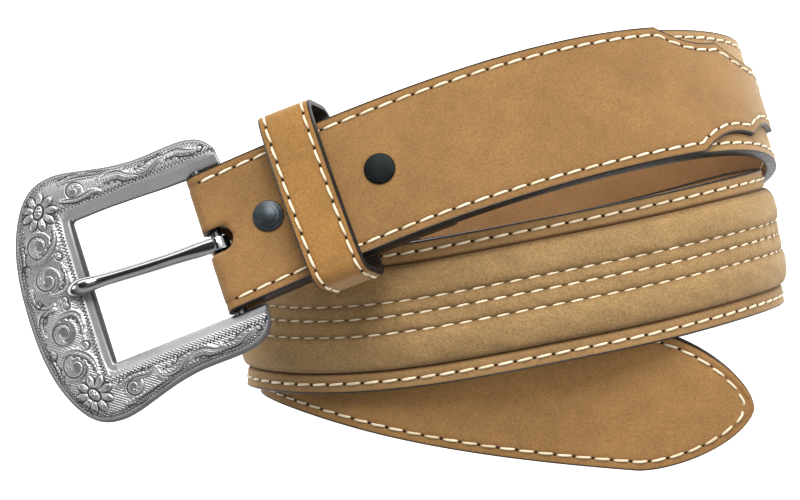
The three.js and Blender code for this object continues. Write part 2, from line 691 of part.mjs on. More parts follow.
function buckleFrame() {
  let solid = solidOf(frameRing()).add(solidOf(bar()));
  for (const mound of ornament()) solid = solid.add(solidOf(mound));
  return geometryOf(solid);
}

// Prong: a rod that rises from its loop and lies over the far bar
function buckleProng() {
  const loop = new THREE.Shape().absarc(0, 0, PRONG_LOOP_OUT, 0, 2 * Math.PI, false);
  loop.holes.push(new THREE.Path().absarc(0, 0, PRONG_LOOP_IN, 0, 2 * Math.PI, true));
  const options = { depth: 2 * PRONG_LOOP_HALF, bevelEnabled: false, curveSegments: PRONG_LOOP_STEPS };
  const ring = new THREE.ExtrudeGeometry(loop, options);
  ring.translate(0, 0, -PRONG_LOOP_HALF);
  ring.applyMatrix4(new THREE.Matrix4().makeBasis(
    new THREE.Vector3(0, 1, 0),
    new THREE.Vector3(0, 0, 1),
    new THREE.Vector3(1, 0, 0),
  ));
  const rings = PRONG_ROD.map(({ away, height, half, thick }) => {
    const section = [];
    for (let i = 0; i < PRONG_SIDES; i++) {
      const angle = 2 * Math.PI * i / PRONG_SIDES;
      section.push(new THREE.Vector3(half * Math.cos(angle), away, height + thick * Math.sin(angle)));
    }
    return section;
  });
  const rod = loft(rings).rotateZ(-PRONG_YAW);
  return geometryOf(solidOf(ring).add(solidOf(rod))).translate(PRONG_ACROSS, 0, 0);
}

// Assembly
const belt = new THREE.Group();

function piece(name, geometry, look, parent = belt) {
  const mesh = new THREE.Mesh(geometry, new THREE.MeshStandardMaterial(look));
  mesh.name = name;
  parent.add(mesh);
  return mesh;
}

// A group whose y axis points away from the strap, on its front or, flipped, on its back
function onStrap({ s, across }, height, flipped) {
  const frame = strapFrame(s);
  const group = new THREE.Group();
  const side = flipped ? -1 : 1;
  const basis = new THREE.Matrix4().makeBasis(
    frame.along,
    frame.out.clone().multiplyScalar(side),
    frame.across.clone().multiplyScalar(-side),
  );
  group.quaternion.setFromRotationMatrix(basis);
  group.position.copy(strapPoint(s, across, height));
  belt.add(group);
  return group;
}

piece('middle_strap', middleStrap(), NUBUCK);
piece('lining', lining(), LINING);
piece('center_panel', centerPanel(), SUEDE);
piece('buckle_billet', buckleBillet(), NUBUCK);
piece('tip_billet', tipBillet(), NUBUCK);
piece('keeper_loop', keeperLoop(), NUBUCK_GOLD);
SNAPS.forEach((snap, i) => {
  piece(`snap_cap_${i + 1}`, snapCap(), GUNMETAL, onStrap(snap, BILLET_OUT + PLY_GAP, false));
  piece(`snap_back_${i + 1}`, snapBack(), GUNMETAL, onStrap(snap, BACK_LEG_OUT - PLY_GAP, true));
});

const start = strapFrame(FOLD_OUTER);
const barWay = start.across.clone().addScaledVector(start.along, Math.tan(FOLD_SKEW)).normalize();
const flatAway = new THREE.Vector3().crossVectors(start.out, barWay);
const away = flatAway.clone().applyAxisAngle(barWay, -FRAME_DROOP);
const face = new THREE.Vector3().crossVectors(barWay, away);
const buckle = new THREE.Group();
buckle.quaternion.setFromRotationMatrix(new THREE.Matrix4().makeBasis(barWay, away, face));
buckle.position.copy(strapPoint(FOLD_OUTER, 0, BAR_HEIGHT));
belt.add(buckle);
piece('buckle_frame', buckleFrame(), SILVER, buckle);
piece('buckle_prong', buckleProng(), SILVER, buckle);

export default belt;
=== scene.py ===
"""Looks of the western belt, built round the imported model. Lengths in the tables are millimetres."""
import math

import bpy
import numpy as np
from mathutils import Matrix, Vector


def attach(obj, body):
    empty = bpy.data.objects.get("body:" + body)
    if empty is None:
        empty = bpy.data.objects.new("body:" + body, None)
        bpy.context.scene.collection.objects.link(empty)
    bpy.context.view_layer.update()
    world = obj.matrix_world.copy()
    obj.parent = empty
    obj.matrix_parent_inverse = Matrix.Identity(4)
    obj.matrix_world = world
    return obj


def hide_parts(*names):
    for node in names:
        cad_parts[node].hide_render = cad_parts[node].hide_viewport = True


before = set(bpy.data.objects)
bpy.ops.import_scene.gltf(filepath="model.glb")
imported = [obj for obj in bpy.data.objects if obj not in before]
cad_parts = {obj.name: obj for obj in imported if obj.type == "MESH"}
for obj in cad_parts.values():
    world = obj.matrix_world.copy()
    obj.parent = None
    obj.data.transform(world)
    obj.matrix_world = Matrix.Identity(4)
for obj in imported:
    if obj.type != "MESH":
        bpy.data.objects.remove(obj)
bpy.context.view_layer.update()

MM = 0.001
UV_SCALE = 0.01

# Strap: the same table, splines and sizes as the solids have
HALF_WIDTH = 19.05
STRAP_END = 954.5
PLY_START = 9.2
MIDDLE_BACK = -1.6
LINING_FACE = -3.1
BILLET_FACE = 1.7
BILLET_BACK = 0.3
BACK_LEG_BACK = -3.4
BACK_LEG_FACE = -4.8
FOLD_OUTER = 3.25
BAR_HEIGHT = -1.55
FOLD_SKEW = math.radians(3.5)
SKEW_END = 41.5
BACK_LEG_END = 64.0
COIL = [
    # s, x, y, z, lean, tip
    (0, -53.8, 0.2, 102.0, 21.4, -15.5),
    (21.5, -34.0, 8.8, 103.2, 21.4, -15.5),
    (41.5, -15.6, 16.5, 104.4, 21.4, -15.5),
    (63.5, 4.7, 24.3, 105.6, 21.4, -15.5),
    (91.5, 31.1, 32.9, 103.5, 19.0, -13.5),
    (121.5, 57.8, 39.5, 93.6, 19.7, -15.0),
    (146.5, 77.9, 42.6, 79.6, 22.0, -17.8),
    (166.5, 90.8, 42.6, 64.4, 20.2, -16.8),
    (186.5, 97.5, 39.8, 46.0, 15.0, -12.1),
    (209.5, 93.5, 34.5, 24.2, 15.5, -8.6),
    (236.5, 75.3, 26.4, 6.3, 19.7, -2.8),
    (263.5, 51.0, 16.1, 0, 22.8, 0),
    (297.5, 19.6, 3.0, 0, 22.6, 0),
    (329.5, -10.0, -9.0, 0, 20.6, 0),
    (342.5, -21.9, -13.3, 0, 18.5, 0),
    (363.5, -37.5, -17.0, 11.6, 11.0, -0.6),
    (388.5, -44.2, -18.5, 35.8, 2.4, 0.2),
    (413.5, -43.4, -19.3, 61.0, -4.5, 0.9),
    (438.5, -30.6, -20.2, 82.2, 1.2, 2.6),
    (468.5, -4.8, -18.4, 97.1, 9.1, 4.0),
    (503.5, 29.6, -12.4, 100.8, 10.9, -0.5),
    (538.5, 63.3, -5.7, 94.9, 11.6, 0.4),
    (568.5, 88.0, 0.0, 79.2, 9.6, 3.5),
    (596.5, 100.6, 3.3, 54.9, 10.0, 3.7),
    (623.5, 96.5, 3.4, 28.9, 15.9, 2.7),
    (653.5, 74.7, -2.5, 10.0, 14.5, 1.1),
    (693.5, 36.6, -11.0, 6.0, 11.0, 0),
    (733.5, -2.3, -17.3, 9.5, 8.2, -4.5),
    (763.5, -27.7, -19.5, 22.7, 4.0, -3.0),
    (793.5, -39.1, -20.9, 47.7, -3.9, 3.4),
    (823.5, -29.9, -24.6, 73.7, -8.6, 9.0),
    (853.5, -6.4, -31.0, 88.0, -9.7, 11.1),
    (898.5, 36.4, -38.2, 88.4, -7.8, 8.6),
    (954.5, 91.4, -42.9, 83.3, -3.5, 9.0),
]
REST_FROM = 263.5
REST_TO = 341.5
REST_BLEND = 16.0


def natural_spline(at, value):
    """A natural cubic spline through the values, as a function that takes numbers or arrays."""
    at = np.asarray(at, float)
    value = np.asarray(value, float)
    step = np.diff(at)
    matrix = np.eye(len(at))
    jump = np.zeros(len(at))
    for i in range(1, len(at) - 1):
        matrix[i, i - 1:i + 2] = step[i - 1], 2 * (step[i - 1] + step[i]), step[i]
        jump[i] = 6 * ((value[i + 1] - value[i]) / step[i] - (value[i] - value[i - 1]) / step[i - 1])
    bend = np.linalg.solve(matrix, jump)

    def curve(x):
        x = np.asarray(x, float)
        i = np.clip(np.searchsorted(at, x) - 1, 0, len(at) - 2)
        b = (x - at[i]) / step[i]
        a = 1 - b
        cubic = ((a ** 3 - a) * bend[i] + (b ** 3 - b) * bend[i + 1]) * step[i] ** 2 / 6
        return a * value[i] + b * value[i + 1] + cubic

    return curve


def smoothstep(x, low, high):
    t = np.clip((np.asarray(x, float) - low) / (high - low), 0, 1)
    return t * t * (3 - 2 * t)


def unit(v):
    return v / np.linalg.norm(v, axis=-1, keepdims=True)


def full_turn(count):
    """Angles evenly round a circle."""
    return np.linspace(0, 2 * np.pi, count + 1)[:-1]


def run_along(points):
    """The length of a line up to each of its points."""
    return np.append(0, np.cumsum(np.linalg.norm(np.diff(points, axis=0), axis=1)))


def at_run(where, run, points):
    """Points of a line at lengths along it."""
    return np.stack([np.interp(where, run, points[:, k]) for k in range(points.shape[1])], -1)


coil_s, *coil_columns = zip(*COIL)
coil = [natural_spline(coil_s, column) for column in coil_columns]


def off_floor(s):
    before = smoothstep(s, REST_FROM - REST_BLEND, REST_FROM)
    after = 1 - smoothstep(s, REST_TO, REST_TO + REST_BLEND)
    return 1 - np.minimum(before, after)


def middle_at(s):
    return np.stack([coil[0](s), coil[1](s), np.maximum(0, coil[2](s)) * off_floor(s)], -1)


def strap_frame(s):
    """Middle, along, across and out of the strap at each arc length."""
    s = np.asarray(s, float)
    lean = np.radians(coil[3](s))
    tip = np.radians(coil[4](s)) * off_floor(s)
    along = unit(middle_at(s + 0.5) - middle_at(s - 0.5))
    across = np.stack([-np.sin(lean) * np.cos(tip), np.cos(lean) * np.cos(tip), np.sin(tip)], -1)
    across = unit(across - along * (across * along).sum(-1, keepdims=True))
    return middle_at(s), along, across, np.cross(along, across)


def strap_point(s, across, height):
    middle, along, side, out = strap_frame(s)
    askew = np.asarray(across) * math.tan(FOLD_SKEW) * (1 - smoothstep(s, FOLD_OUTER, SKEW_END))
    across, height, askew = (np.asarray(a, float)[..., None] for a in (across, height, askew))
    return middle + side * across + along * askew + out * height


# Meshes
def new_object(name, points, faces, materials, slots=None, uv=None, sharp=40, **fields):
    """An object in metres from points in millimetres. uv and the fields, such as tone, are for each point."""
    mesh = bpy.data.meshes.new(name)
    points = np.asarray(points, float).reshape(-1, 3)
    mesh.from_pydata((points * MM).tolist(), [], faces)
    for material in materials:
        mesh.materials.append(material)
    if slots is not None:
        mesh.polygons.foreach_set("material_index", np.asarray(slots, np.int32))
    if uv is not None:
        corner = np.empty(len(mesh.loops), np.int32)
        mesh.loops.foreach_get("vertex_index", corner)
        layer = mesh.uv_layers.new(name="strap")
        layer.data.foreach_set("uv", (np.asarray(uv, float).reshape(-1, 2)[corner] * UV_SCALE).ravel())
    for field, values in fields.items():
        layer = mesh.attributes.new(field, "FLOAT", "POINT")
        layer.data.foreach_set("value", np.asarray(values, np.float32).ravel())
    mesh.polygons.foreach_set("use_smooth", np.ones(len(mesh.polygons), bool))
    if sharp:
        mesh.set_sharp_from_angle(angle=math.radians(sharp))
    mesh.update()
    obj = bpy.data.objects.new(name, mesh)
    bpy.context.scene.collection.objects.link(obj)
    return obj


def ring_faces(rows, count, first=0, closed=False):
    """Quads between rows of count points that run round a body, and end faces unless it is closed."""
    faces = []
    for r in range(rows if closed else rows - 1):
        here = first + r * count
        there = first + (r + 1) % rows * count
        for i in range(count):
            j = (i + 1) % count
            faces.append((here + i, here + j, there + j, there + i))
    if not closed:
        faces.append(tuple(first + i for i in reversed(range(count))))
        faces.append(tuple(first + (rows - 1) * count + i for i in range(count)))
    return faces


def faces_in(rings, closed):
    """Whether quads between the rings face the inside of the body."""
    near = rings - rings.mean((0, 1))
    if closed:
        near = np.concatenate([near, near[:1]])
    a, d = near[:-1], near[1:]
    b, c = np.roll(a, -1, 1), np.roll(d, -1, 1)
    return (a * np.cross(b, c) + a * np.cross(c, d)).sum() < 0


def loft(name, rings, materials, slot_of=None, closed=False, **more):
    """A body from an array of rings (rows, count, 3), facing out. slot_of gives each column's material."""
    rings = np.asarray(rings, float)
    rows, count = rings.shape[:2]
    faces = ring_faces(rows, count, closed=closed)
    if faces_in(rings, closed):
        faces = [tuple(reversed(face)) for face in faces]
    slots = None
    if slot_of is not None:
        slots = np.tile(slot_of, rows if closed else rows - 1)
        if not closed:
            slots = np.append(slots, [1, 1])
    return new_object(name, rings, faces, materials, slots, **more)


def dress(obj, body, slot, *nodes):
    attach(obj, body)
    if nodes:
        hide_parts(*nodes)
    return obj


def joined(name, pieces):
    """One object from several."""
    with bpy.context.temp_override(active_object=pieces[0], selected_editable_objects=pieces):
        bpy.ops.object.join()
    pieces[0].name = name
    return pieces[0]


# Materials
def grey(value):
    return (value, value, value)


class Nodes:
    """A node tree, with short ways to add nodes. A socket's value may be another node's output."""

    def __init__(self, tree):
        self.tree = tree

    def feed(self, socket, value):
        if hasattr(value, "links"):
            self.tree.links.new(value, socket)
        elif socket.type == "RGBA":
            socket.default_value = (*value, 1)
        else:
            socket.default_value = value

    def add(self, kind, inputs=(), **settings):
        node = self.tree.nodes.new("ShaderNode" + kind)
        for setting, value in settings.items():
            setattr(node, setting, value)
        for socket, value in dict(inputs).items():
            self.feed(node.inputs[socket], value)
        return node

    def ramp(self, value, *stops):
        """A colour ramp from (position, colour) stops. A number stands for a grey."""
        node = self.add("ValToRGB", {"Fac": value})
        elements = node.color_ramp.elements
        elements[0].position, elements[1].position = stops[0][0], stops[-1][0]
        while len(elements) < len(stops):
            elements.new(0.5)
        for element, (position, colour) in zip(elements, stops):
            element.position = position
            element.color = (*(colour if isinstance(colour, tuple) else grey(colour)), 1)
        return node.outputs["Color"]

    def mix(self, kind, factor, a, b):
        """Colour a, with colour b laid over it."""
        inputs = {0: factor, 6: a, 7: b}
        return self.add("Mix", inputs, data_type="RGBA", blend_type=kind).outputs[2]

    def math(self, kind, *values):
        return self.add("Math", dict(enumerate(values)), operation=kind).outputs[0]

    def dot(self, vector, way):
        return self.add("VectorMath", {0: vector, 1: way}, operation="DOT_PRODUCT").outputs["Value"]

    def attribute(self, name):
        return self.add("Attribute", attribute_name=name).outputs["Fac"]


class Surface(Nodes):
    """The nodes of a new material, which lie in the object's own space."""

    def __init__(self, name):
        self.material = bpy.data.materials.new(name)
        self.material.use_nodes = True
        super().__init__(self.material.node_tree)
        self.tree.nodes.clear()
        self.place = self.add("TexCoord").outputs["Object"]

    def noise(self, scale, detail, roughness=0.5, distortion=0.0):
        inputs = {"Vector": self.place, "Scale": scale, "Detail": detail}
        inputs.update({"Roughness": roughness, "Distortion": distortion})
        return self.add("TexNoise", inputs).outputs["Fac"]

    def finish(self, inputs, bumps=()):
        """The material with its shader's inputs, and bumps as (height, strength, distance in metres)."""
        shader = self.add("BsdfPrincipled", inputs)
        normal = None
        for height, strength, distance in bumps:
            bump = self.add("Bump", {"Height": height, "Strength": strength, "Distance": distance})
            if normal is not None:
                self.feed(bump.inputs["Normal"], normal)
            normal = bump.outputs["Normal"]
        if normal is not None:
            self.feed(shader.inputs["Normal"], normal)
        self.add("OutputMaterial", {"Surface": shader.outputs["BSDF"]})
        return self.material


# Leather: how far its patches stray from its colour, and what its tone attribute darkens it with: painted
# shade in channels, cut lines and hollows, and wear at rubbed edges
SPREAD = 0.12
HANDLED_AND_SHADE = (0.42, 0.33, 0.26)
SHEEN_TINT = (1.0, 0.90, 0.66)
# Dark patina of the engraving, also used as painted shade on the frame's rim, walls and bevel
PATINA_AND_SHADE = (0.022, 0.023, 0.026)


def leather(name, colour, roughness=0.86, sheen=0.3, nap=0.45, grain=0.0, mottle=1.0):
    """Nubuck or suede: broad patches, fine mottling and nap, darkened where the tone attribute says: painted
    shade in hollows and wear at edges.
    """
    nodes = Surface(name)
    broad = nodes.noise(38, 3, 0.55, 0.6)
    cloud = nodes.noise(170, 4, 0.6)
    speck = nodes.noise(1700, 4, 0.65)
    fibre = nodes.noise(4200, 2, 0.7)
    dark = tuple(c * (1 - SPREAD) for c in colour)
    light = tuple(c * (1 + SPREAD) for c in colour)
    base = nodes.ramp(broad, (0.30, dark), (0.5, colour), (0.70, light))
    for value, low, amount in ((cloud, 0.28, 0.14), (speck, 0.27, 0.42)):
        shade = nodes.ramp(value, (low, 1 - amount * mottle), (1 - low, 1.0))
        base = nodes.mix("MULTIPLY", 1.0, base, shade)
    bumps = [(cloud, 0.25, 0.0004), (speck, nap, 0.00024), (fibre, nap, 0.0001)]
    if grain:
        cells = nodes.add("TexVoronoi", {"Vector": nodes.place, "Scale": 900}, feature="DISTANCE_TO_EDGE")
        bumps.append((cells.outputs["Distance"], grain, 0.0001))
    return nodes.finish({
        "Base Color": nodes.mix("MULTIPLY", nodes.attribute("tone"), base, HANDLED_AND_SHADE),
        "Roughness": roughness,
        "Specular IOR Level": 0.25,
        "Sheen Weight": sheen,
        "Sheen Roughness": 0.4,
        "Sheen Tint": SHEEN_TINT,
    }, bumps)


def edge_paint():
    nodes = Surface("edge_paint")
    patches = nodes.noise(160, 4, 0.6)
    fine = nodes.noise(1400, 3, 0.6)
    return nodes.finish({
        "Base Color": nodes.ramp(patches, (0.3, 0.004), (0.7, (0.010, 0.010, 0.009))),
        "Roughness": nodes.ramp(fine, (0.3, 0.30), (0.7, 0.50)),
        "Specular IOR Level": 0.22,
    }, [(patches, 0.3, 0.0003), (fine, 0.4, 0.00012)])


def waxed_thread():
    nodes = Surface("waxed_thread")
    patches = nodes.noise(120, 2)
    return nodes.finish({
        "Base Color": nodes.ramp(patches, (0.35, (0.56, 0.46, 0.30)), (0.65, (0.74, 0.64, 0.46))),
        "Roughness": 0.55,
        "Sheen Weight": 0.2,
    }, [(nodes.noise(3800, 2, 0.6), 0.6, 0.0001)])


# Painted shade for the inside of the needle holes
def needle_hole():
    nodes = Surface("needle_hole")
    fine = nodes.noise(2500, 2, 0.6)
    return nodes.finish({
        "Base Color": nodes.ramp(fine, (0.3, (0.010, 0.007, 0.005)), (0.7, (0.030, 0.020, 0.013))),
        "Roughness": 0.9,
        "Specular IOR Level": 0.1,
    })


def wriggle(nodes, run, gap, period, swing, wide):
    """A zigzag cut along a line: 1 in the cut. gap is the distance to the line, run the way along it."""
    half = period / 2
    wave = nodes.math("PINGPONG", nodes.attribute(run), half)
    centre = nodes.math("MULTIPLY_ADD", wave, swing / half, -swing / 2)
    off = nodes.math("ABSOLUTE", nodes.math("SUBTRACT", nodes.attribute(gap), centre))
    limits = {"Value": off, "From Min": wide * 0.8, "From Max": wide * 1.3, "To Min": 1.0, "To Max": 0.0}
    return nodes.add("MapRange", limits, interpolation_type="SMOOTHSTEP").outputs["Result"]


def silver(name, roughness, tones, borders=()):
    """Plated metal. With borders, dark patina lies in them; where the tone attribute is high lies patina in
    the cuts and painted shade at the rim, walls and bevel.
    """
    nodes = Surface(name)
    patches = nodes.noise(130, 4, 0.6)
    fine = nodes.noise(2600, 3, 0.6)
    low, high = tones
    bright = nodes.ramp(patches, (0.3, (low, low, low * 1.02)), (0.7, (high, high, high * 1.02)))
    shine = nodes.ramp(fine, (0.3, roughness[0]), (0.7, roughness[1]))
    bumps = [(patches, 0.05, 0.0004), (fine, 0.04, 0.00005)]
    if not borders:
        return nodes.finish({"Base Color": bright, "Metallic": 1.0, "Roughness": shine}, bumps)
    cut = nodes.attribute("tone")
    for border in borders:
        cut = nodes.math("MAXIMUM", cut, wriggle(nodes, *border))
    plain = nodes.math("SUBTRACT", 1.0, cut)
    bumps.append((nodes.math("MULTIPLY", cut, -1.0), 0.35, 0.0002))
    return nodes.finish({
        "Base Color": nodes.mix("MIX", cut, bright, PATINA_AND_SHADE),
        "Metallic": plain,
        "Specular IOR Level": nodes.math("MULTIPLY", plain, 0.5),
        "Roughness": nodes.math("MULTIPLY_ADD", cut, 0.4, shine),
    }, bumps)


def gunmetal(name, low, high, specular):
    nodes = Surface(name)
    patches = nodes.noise(400, 3, 0.6)
    return nodes.finish({
        "Base Color": nodes.ramp(patches, (0.3, low), (0.7, high)),
        "Metallic": 0.6,
        "Specular IOR Level": specular,
        "Roughness": nodes.ramp(patches, (0.3, 0.28), (0.7, 0.42)),
    }, [(patches, 0.1, 0.0001)])


NUBUCK = leather("nubuck", (0.274, 0.144, 0.048))
# The same nubuck made lighter for the tip billet: painted light where it leans away from the key
NUBUCK_TIP_LIT = leather("nubuck_tip_painted_light", (0.358, 0.188, 0.064))
NUBUCK_GOLD = leather("nubuck_gold", (0.312, 0.156, 0.042))
NUBUCK_BASE = leather("nubuck_base", (0.340, 0.198, 0.079))
SUEDE = leather("suede", (0.376, 0.232, 0.096), roughness=0.95, nap=0.8, mottle=1.25)
LINING = leather("lining", (0.268, 0.138, 0.053), roughness=0.7, sheen=0.1, nap=0.2, grain=0.25, mottle=0.6)
# A near-black leather that paints the shade inside the keeper's loop
KEEPER_INSIDE_SHADE = leather("keeper_inside_painted_shade", (0.050, 0.036, 0.026), roughness=0.8, sheen=0.0, mottle=0.5)
EDGE = edge_paint()
THREAD = waxed_thread()
HOLE_SHADE = needle_hole()
BORDERS = (
    # way along and distance attributes, then period, swing and half width in mm
    ("border_run", "border_gap", 1.05, 1.00, 0.26),
    ("rim_run", "rim_gap", 0.95, 0.70, 0.20),
    ("rim_run", "rim_gap_2", 0.95, 0.40, 0.17),
)
SILVER_ENGRAVED = silver("silver_engraved", (0.24, 0.32), (0.40, 0.50), BORDERS)
# The frame's silver made dark for the bar: painted shade where the bar lies between the arms and the strap's
# fold
SILVER_BAR_SHADE = silver("silver_bar_painted_shade", (0.30, 0.40), (0.05, 0.08))
SILVER_POLISHED = silver("silver_polished", (0.06, 0.10), (0.38, 0.46))
GUNMETAL = gunmetal("gunmetal", (0.016, 0.022, 0.026), (0.036, 0.046, 0.053), 0.5)
GUNMETAL_BLACK = gunmetal("gunmetal_black", (0.004, 0.005, 0.005), (0.008, 0.010, 0.010), 0.08)

# Strap plies
STATION = 2.0
EDGE_ROUND = 0.45
STITCH_INSET = 2.55
# Half width and depth of the channel under the edge stitching, and how deep the edge outside it lies
STITCH_CHANNEL = (0.75, 0.20)
MARGIN_FALL = 0.16
# Painted shade in the channel, its spread, and tone of the rubbed edge
CHANNEL_SHADE = 0.38
CHANNEL_SPREAD = 0.8
RUBBED_TONE = 0.75
# Columns of a ply's face, as distances from its edge
FACE_INSETS = (
    0.45, 0.7, 1.0, 1.5, 1.95, 2.25, 2.55, 2.85, 3.15, 3.6,
    4.4, 4.9, 5.2, 5.45, 5.7, 6.0, 6.6, 8.5, 11, 14,
)
NARROW_MARGIN = 1.2
EDGE_TURNS = np.radians((0, 30, 60))


def stations(start, end, step=STATION):
    return np.linspace(start, end, int(round((end - start) / step)) + 1)


def groove(distance, wide, deep):
    return -deep * np.exp(-(distance / wide) ** 2)


def ply_rings(s, half, back, face, relief):
    """Rings of a ply: face columns from one edge to the other, round edges and a flat back.

    Returns the rings, their (s, across) for the texture, the tone and which columns are edge."""
    s, half, back, face = np.broadcast_arrays(s, half, back, face)
    way = np.sign(face - back)
    shrink = np.minimum(1, half / (FACE_INSETS[-1] + NARROW_MARGIN))
    radius = np.minimum(EDGE_ROUND, half * 0.4)
    side = [(0 * half, back)]
    for turn in EDGE_TURNS:
        side.append((radius * (1 - np.cos(turn)), face - way * radius * (1 - np.sin(turn))))
    side += [(inset * shrink, face) for inset in FACE_INSETS]
    columns = [(inset - half, height) for inset, height in side]
    columns.append((0 * half, face))
    columns += [(half - inset, height) for inset, height in reversed(side)]
    columns += [(half * 0.5, back), (half * -0.5, back)]
    across, height = (np.stack(part, 1) for part in zip(*columns))
    edge = [1] * 4 + [0] * 2 * len(FACE_INSETS) + [1] * 4 + [0] * 3
    lift, tone = relief(s[:, None], across, half[:, None])
    on_face = np.isclose(height, face[:, None])
    rings = strap_point(s[:, None], across, height + lift * on_face * way[:, None])
    uv = np.stack([np.broadcast_to(s[:, None], across.shape), across], -1)
    return rings, uv, tone * on_face, edge


def stitched_relief(s, across, half):
    """A shallow channel under the edge stitching, and the margin pressed down outside it. Its tone is painted
    shade in the channel and wear at the rubbed edge.
    """
    inset = half - np.abs(across)
    off = inset - STITCH_INSET
    lift = groove(off, *STITCH_CHANNEL) - MARGIN_FALL * (1 - smoothstep(inset, 0, STITCH_INSET))
    rubbed = RUBBED_TONE * (1 - smoothstep(inset, 0.2, 0.95))
    return lift, CHANNEL_SHADE * np.exp(-(off / CHANNEL_SPREAD) ** 2) + rubbed


def ply(name, s, half, back, face, relief, materials, slot, node):
    rings, uv, tone, edge = ply_rings(s, half, back, face, relief)
    return dress(loft(name, rings, materials, slot_of=edge, uv=uv, tone=tone), "strap", slot, node)


# Outlines
TIP_LENGTH = 30.0
TIP_CURVE = 1.5
TIP_FULLNESS = 0.6
TONGUE = (
    # length, from, to, dip
    (22.5, HALF_WIDTH, 14.4, 1.0),
    (20.5, 14.4, 9.8, 0.8),
    (19.0, 9.8, 0.6, -0.6),
)
SCALLOP_FALL = 2.4
SCALLOP_SHARES = np.array((0.004, 0.012, 0.025, 0.045, 0.07, *np.linspace(0.1, 1, 19)))
TIP_SHARES = np.array((*np.linspace(1, 0.02, 34) ** 1.35, 0.002, 0.0004))
BUCKLE_TONGUE_START = 137.0
TIP_TONGUE_START = 725.5
TONGUE_LENGTH = sum(row[0] for row in TONGUE)
PANEL_FROM = 364.5
PANEL_TO = 653.5
PANEL_ROUND = 24.0
PANEL_HALF = 13.4
PANEL_END_WIDTH = 0.12
CUT_LINE = 0.45
CUT_LINE_OUT = 0.25
CUT_LINE_DEPTH = 0.8


def tip_half(s):
    back = np.clip((STRAP_END - np.asarray(s, float)) / TIP_LENGTH, 0, 1)
    return HALF_WIDTH * (1 - (1 - back) ** TIP_CURVE) ** TIP_FULLNESS


def tongue_half(past):
    past = np.asarray(past, float)
    half = np.full(past.shape, HALF_WIDTH)
    start = 0.0
    for length, wide, narrow, dip in TONGUE:
        share = np.clip((past - start) / length, 0, 1)
        fall = (1 - share) ** (SCALLOP_FALL if dip > 0 else 1)
        here = narrow + (wide - narrow) * fall - dip * np.sin(np.pi * share)
        half = np.where(past > start, here, half)
        start += length
    return half


def tongue_stations():
    """Distances along the tongue, closer where a scallop starts."""
    rows = [0.0]
    for length, _, _, _ in TONGUE:
        rows += list(rows[-1] + SCALLOP_SHARES * length)
    return np.array(rows)


def panel_half(s):
    """Half the panel's width, and a share that falls from 1 to 0 in its round ends."""
    from_end = np.minimum(s - PANEL_FROM, PANEL_TO - s)
    share = np.clip(1 - from_end / PANEL_ROUND, 0, 1)
    narrow = np.sqrt(np.maximum(0, 1 - share * share))
    return PANEL_HALF * (PANEL_END_WIDTH + (1 - PANEL_END_WIDTH) * narrow), narrow


def base_relief(s, across, half):
    """The middle strap's face: edge stitching, and a cut line round the padded panel with painted shade in
    it.
    """
    lift, tone = stitched_relief(s, across, half)
    inside = smoothstep(np.minimum(s - PANEL_FROM, PANEL_TO - s), -0.5, 0.5)
    gap = np.abs(across) - panel_half(s)[0] - CUT_LINE_OUT
    line = np.exp(-(gap / CUT_LINE) ** 2) * inside
    # The cut line is sunk, and painted shade darkens it
    return lift - CUT_LINE_DEPTH * line, np.clip(tone + 1.2 * line, 0, 1)


# Leather pieces
CLEAR = 0.02
CLOSE_UP = 3.0
FOLD_RUN = 6.0

tip_stations = STRAP_END - TIP_LENGTH * TIP_SHARES
body_s = np.append(stations(PLY_START, STRAP_END - TIP_LENGTH), tip_stations[1:])
middle_strap = ply("middle_strap_leather", body_s, tip_half(body_s), MIDDLE_BACK, 0.0, base_relief,
                   [NUBUCK_BASE, EDGE], "nubuck", "middle_strap")
lining = ply("lining_leather", body_s, tip_half(body_s), MIDDLE_BACK, LINING_FACE, stitched_relief,
             [LINING, EDGE], "lining", "lining")

tongue_s = tongue_stations()
tip_s = np.concatenate([
    TIP_TONGUE_START - tongue_s[::-1],
    stations(TIP_TONGUE_START, STRAP_END - TIP_LENGTH)[1:],
    tip_stations[1:],
])
tip_width = np.where(tip_s < TIP_TONGUE_START, tongue_half(TIP_TONGUE_START - tip_s), tip_half(tip_s))
tip_billet = ply("tip_billet_leather", tip_s, tip_width, CLEAR, BILLET_FACE, stitched_relief,
                 [NUBUCK_TIP_LIT, EDGE], "nubuck", "tip_billet")


def billet_leg(s, half, inner, laid, face):
    """Rings of a leg of the fold, whose back closes up to the height laid where the plies start."""
    back = inner + (laid - inner) * smoothstep(s, PLY_START, PLY_START + CLOSE_UP)
    return ply_rings(s, half, back, face, stitched_relief)


def buckle_billet_rings():
    """Back leg, bend round the bar, front leg and tongue, with the same columns all along."""
    back_s = stations(FOLD_OUTER, BACK_LEG_END)[::-1]
    back = billet_leg(back_s, HALF_WIDTH, BACK_LEG_BACK, LINING_FACE - CLEAR, BACK_LEG_FACE)
    front_s = np.append(stations(FOLD_OUTER, BUCKLE_TONGUE_START), BUCKLE_TONGUE_START + tongue_s[1:])
    front_half = tongue_half(front_s - BUCKLE_TONGUE_START)
    front = billet_leg(front_s, front_half, BILLET_BACK, CLEAR, BILLET_FACE)
    # The bend: the first front ring turned round the bar
    ring, flat, shade = (part[0] for part in front[:3])
    _, along, _, level = strap_frame(np.array(FOLD_OUTER))
    base = strap_point(np.full(len(flat), FOLD_OUTER), flat[:, 1], BAR_HEIGHT)
    radius = ((ring - base) * level).sum(-1, keepdims=True)
    turns = np.radians(np.linspace(0, 180, 19))[1:-1]
    bend = [base - radius * (math.cos(turn) * level + math.sin(turn) * along) for turn in turns]
    run = FOLD_RUN * (turns / math.pi - 1)
    bend_uv = [np.stack([np.full(len(flat), place), flat[:, 1]], -1) for place in run]
    parts = zip(back, (bend, bend_uv, [shade] * len(turns)), front)
    return *(np.concatenate(part) for part in parts), front[3]


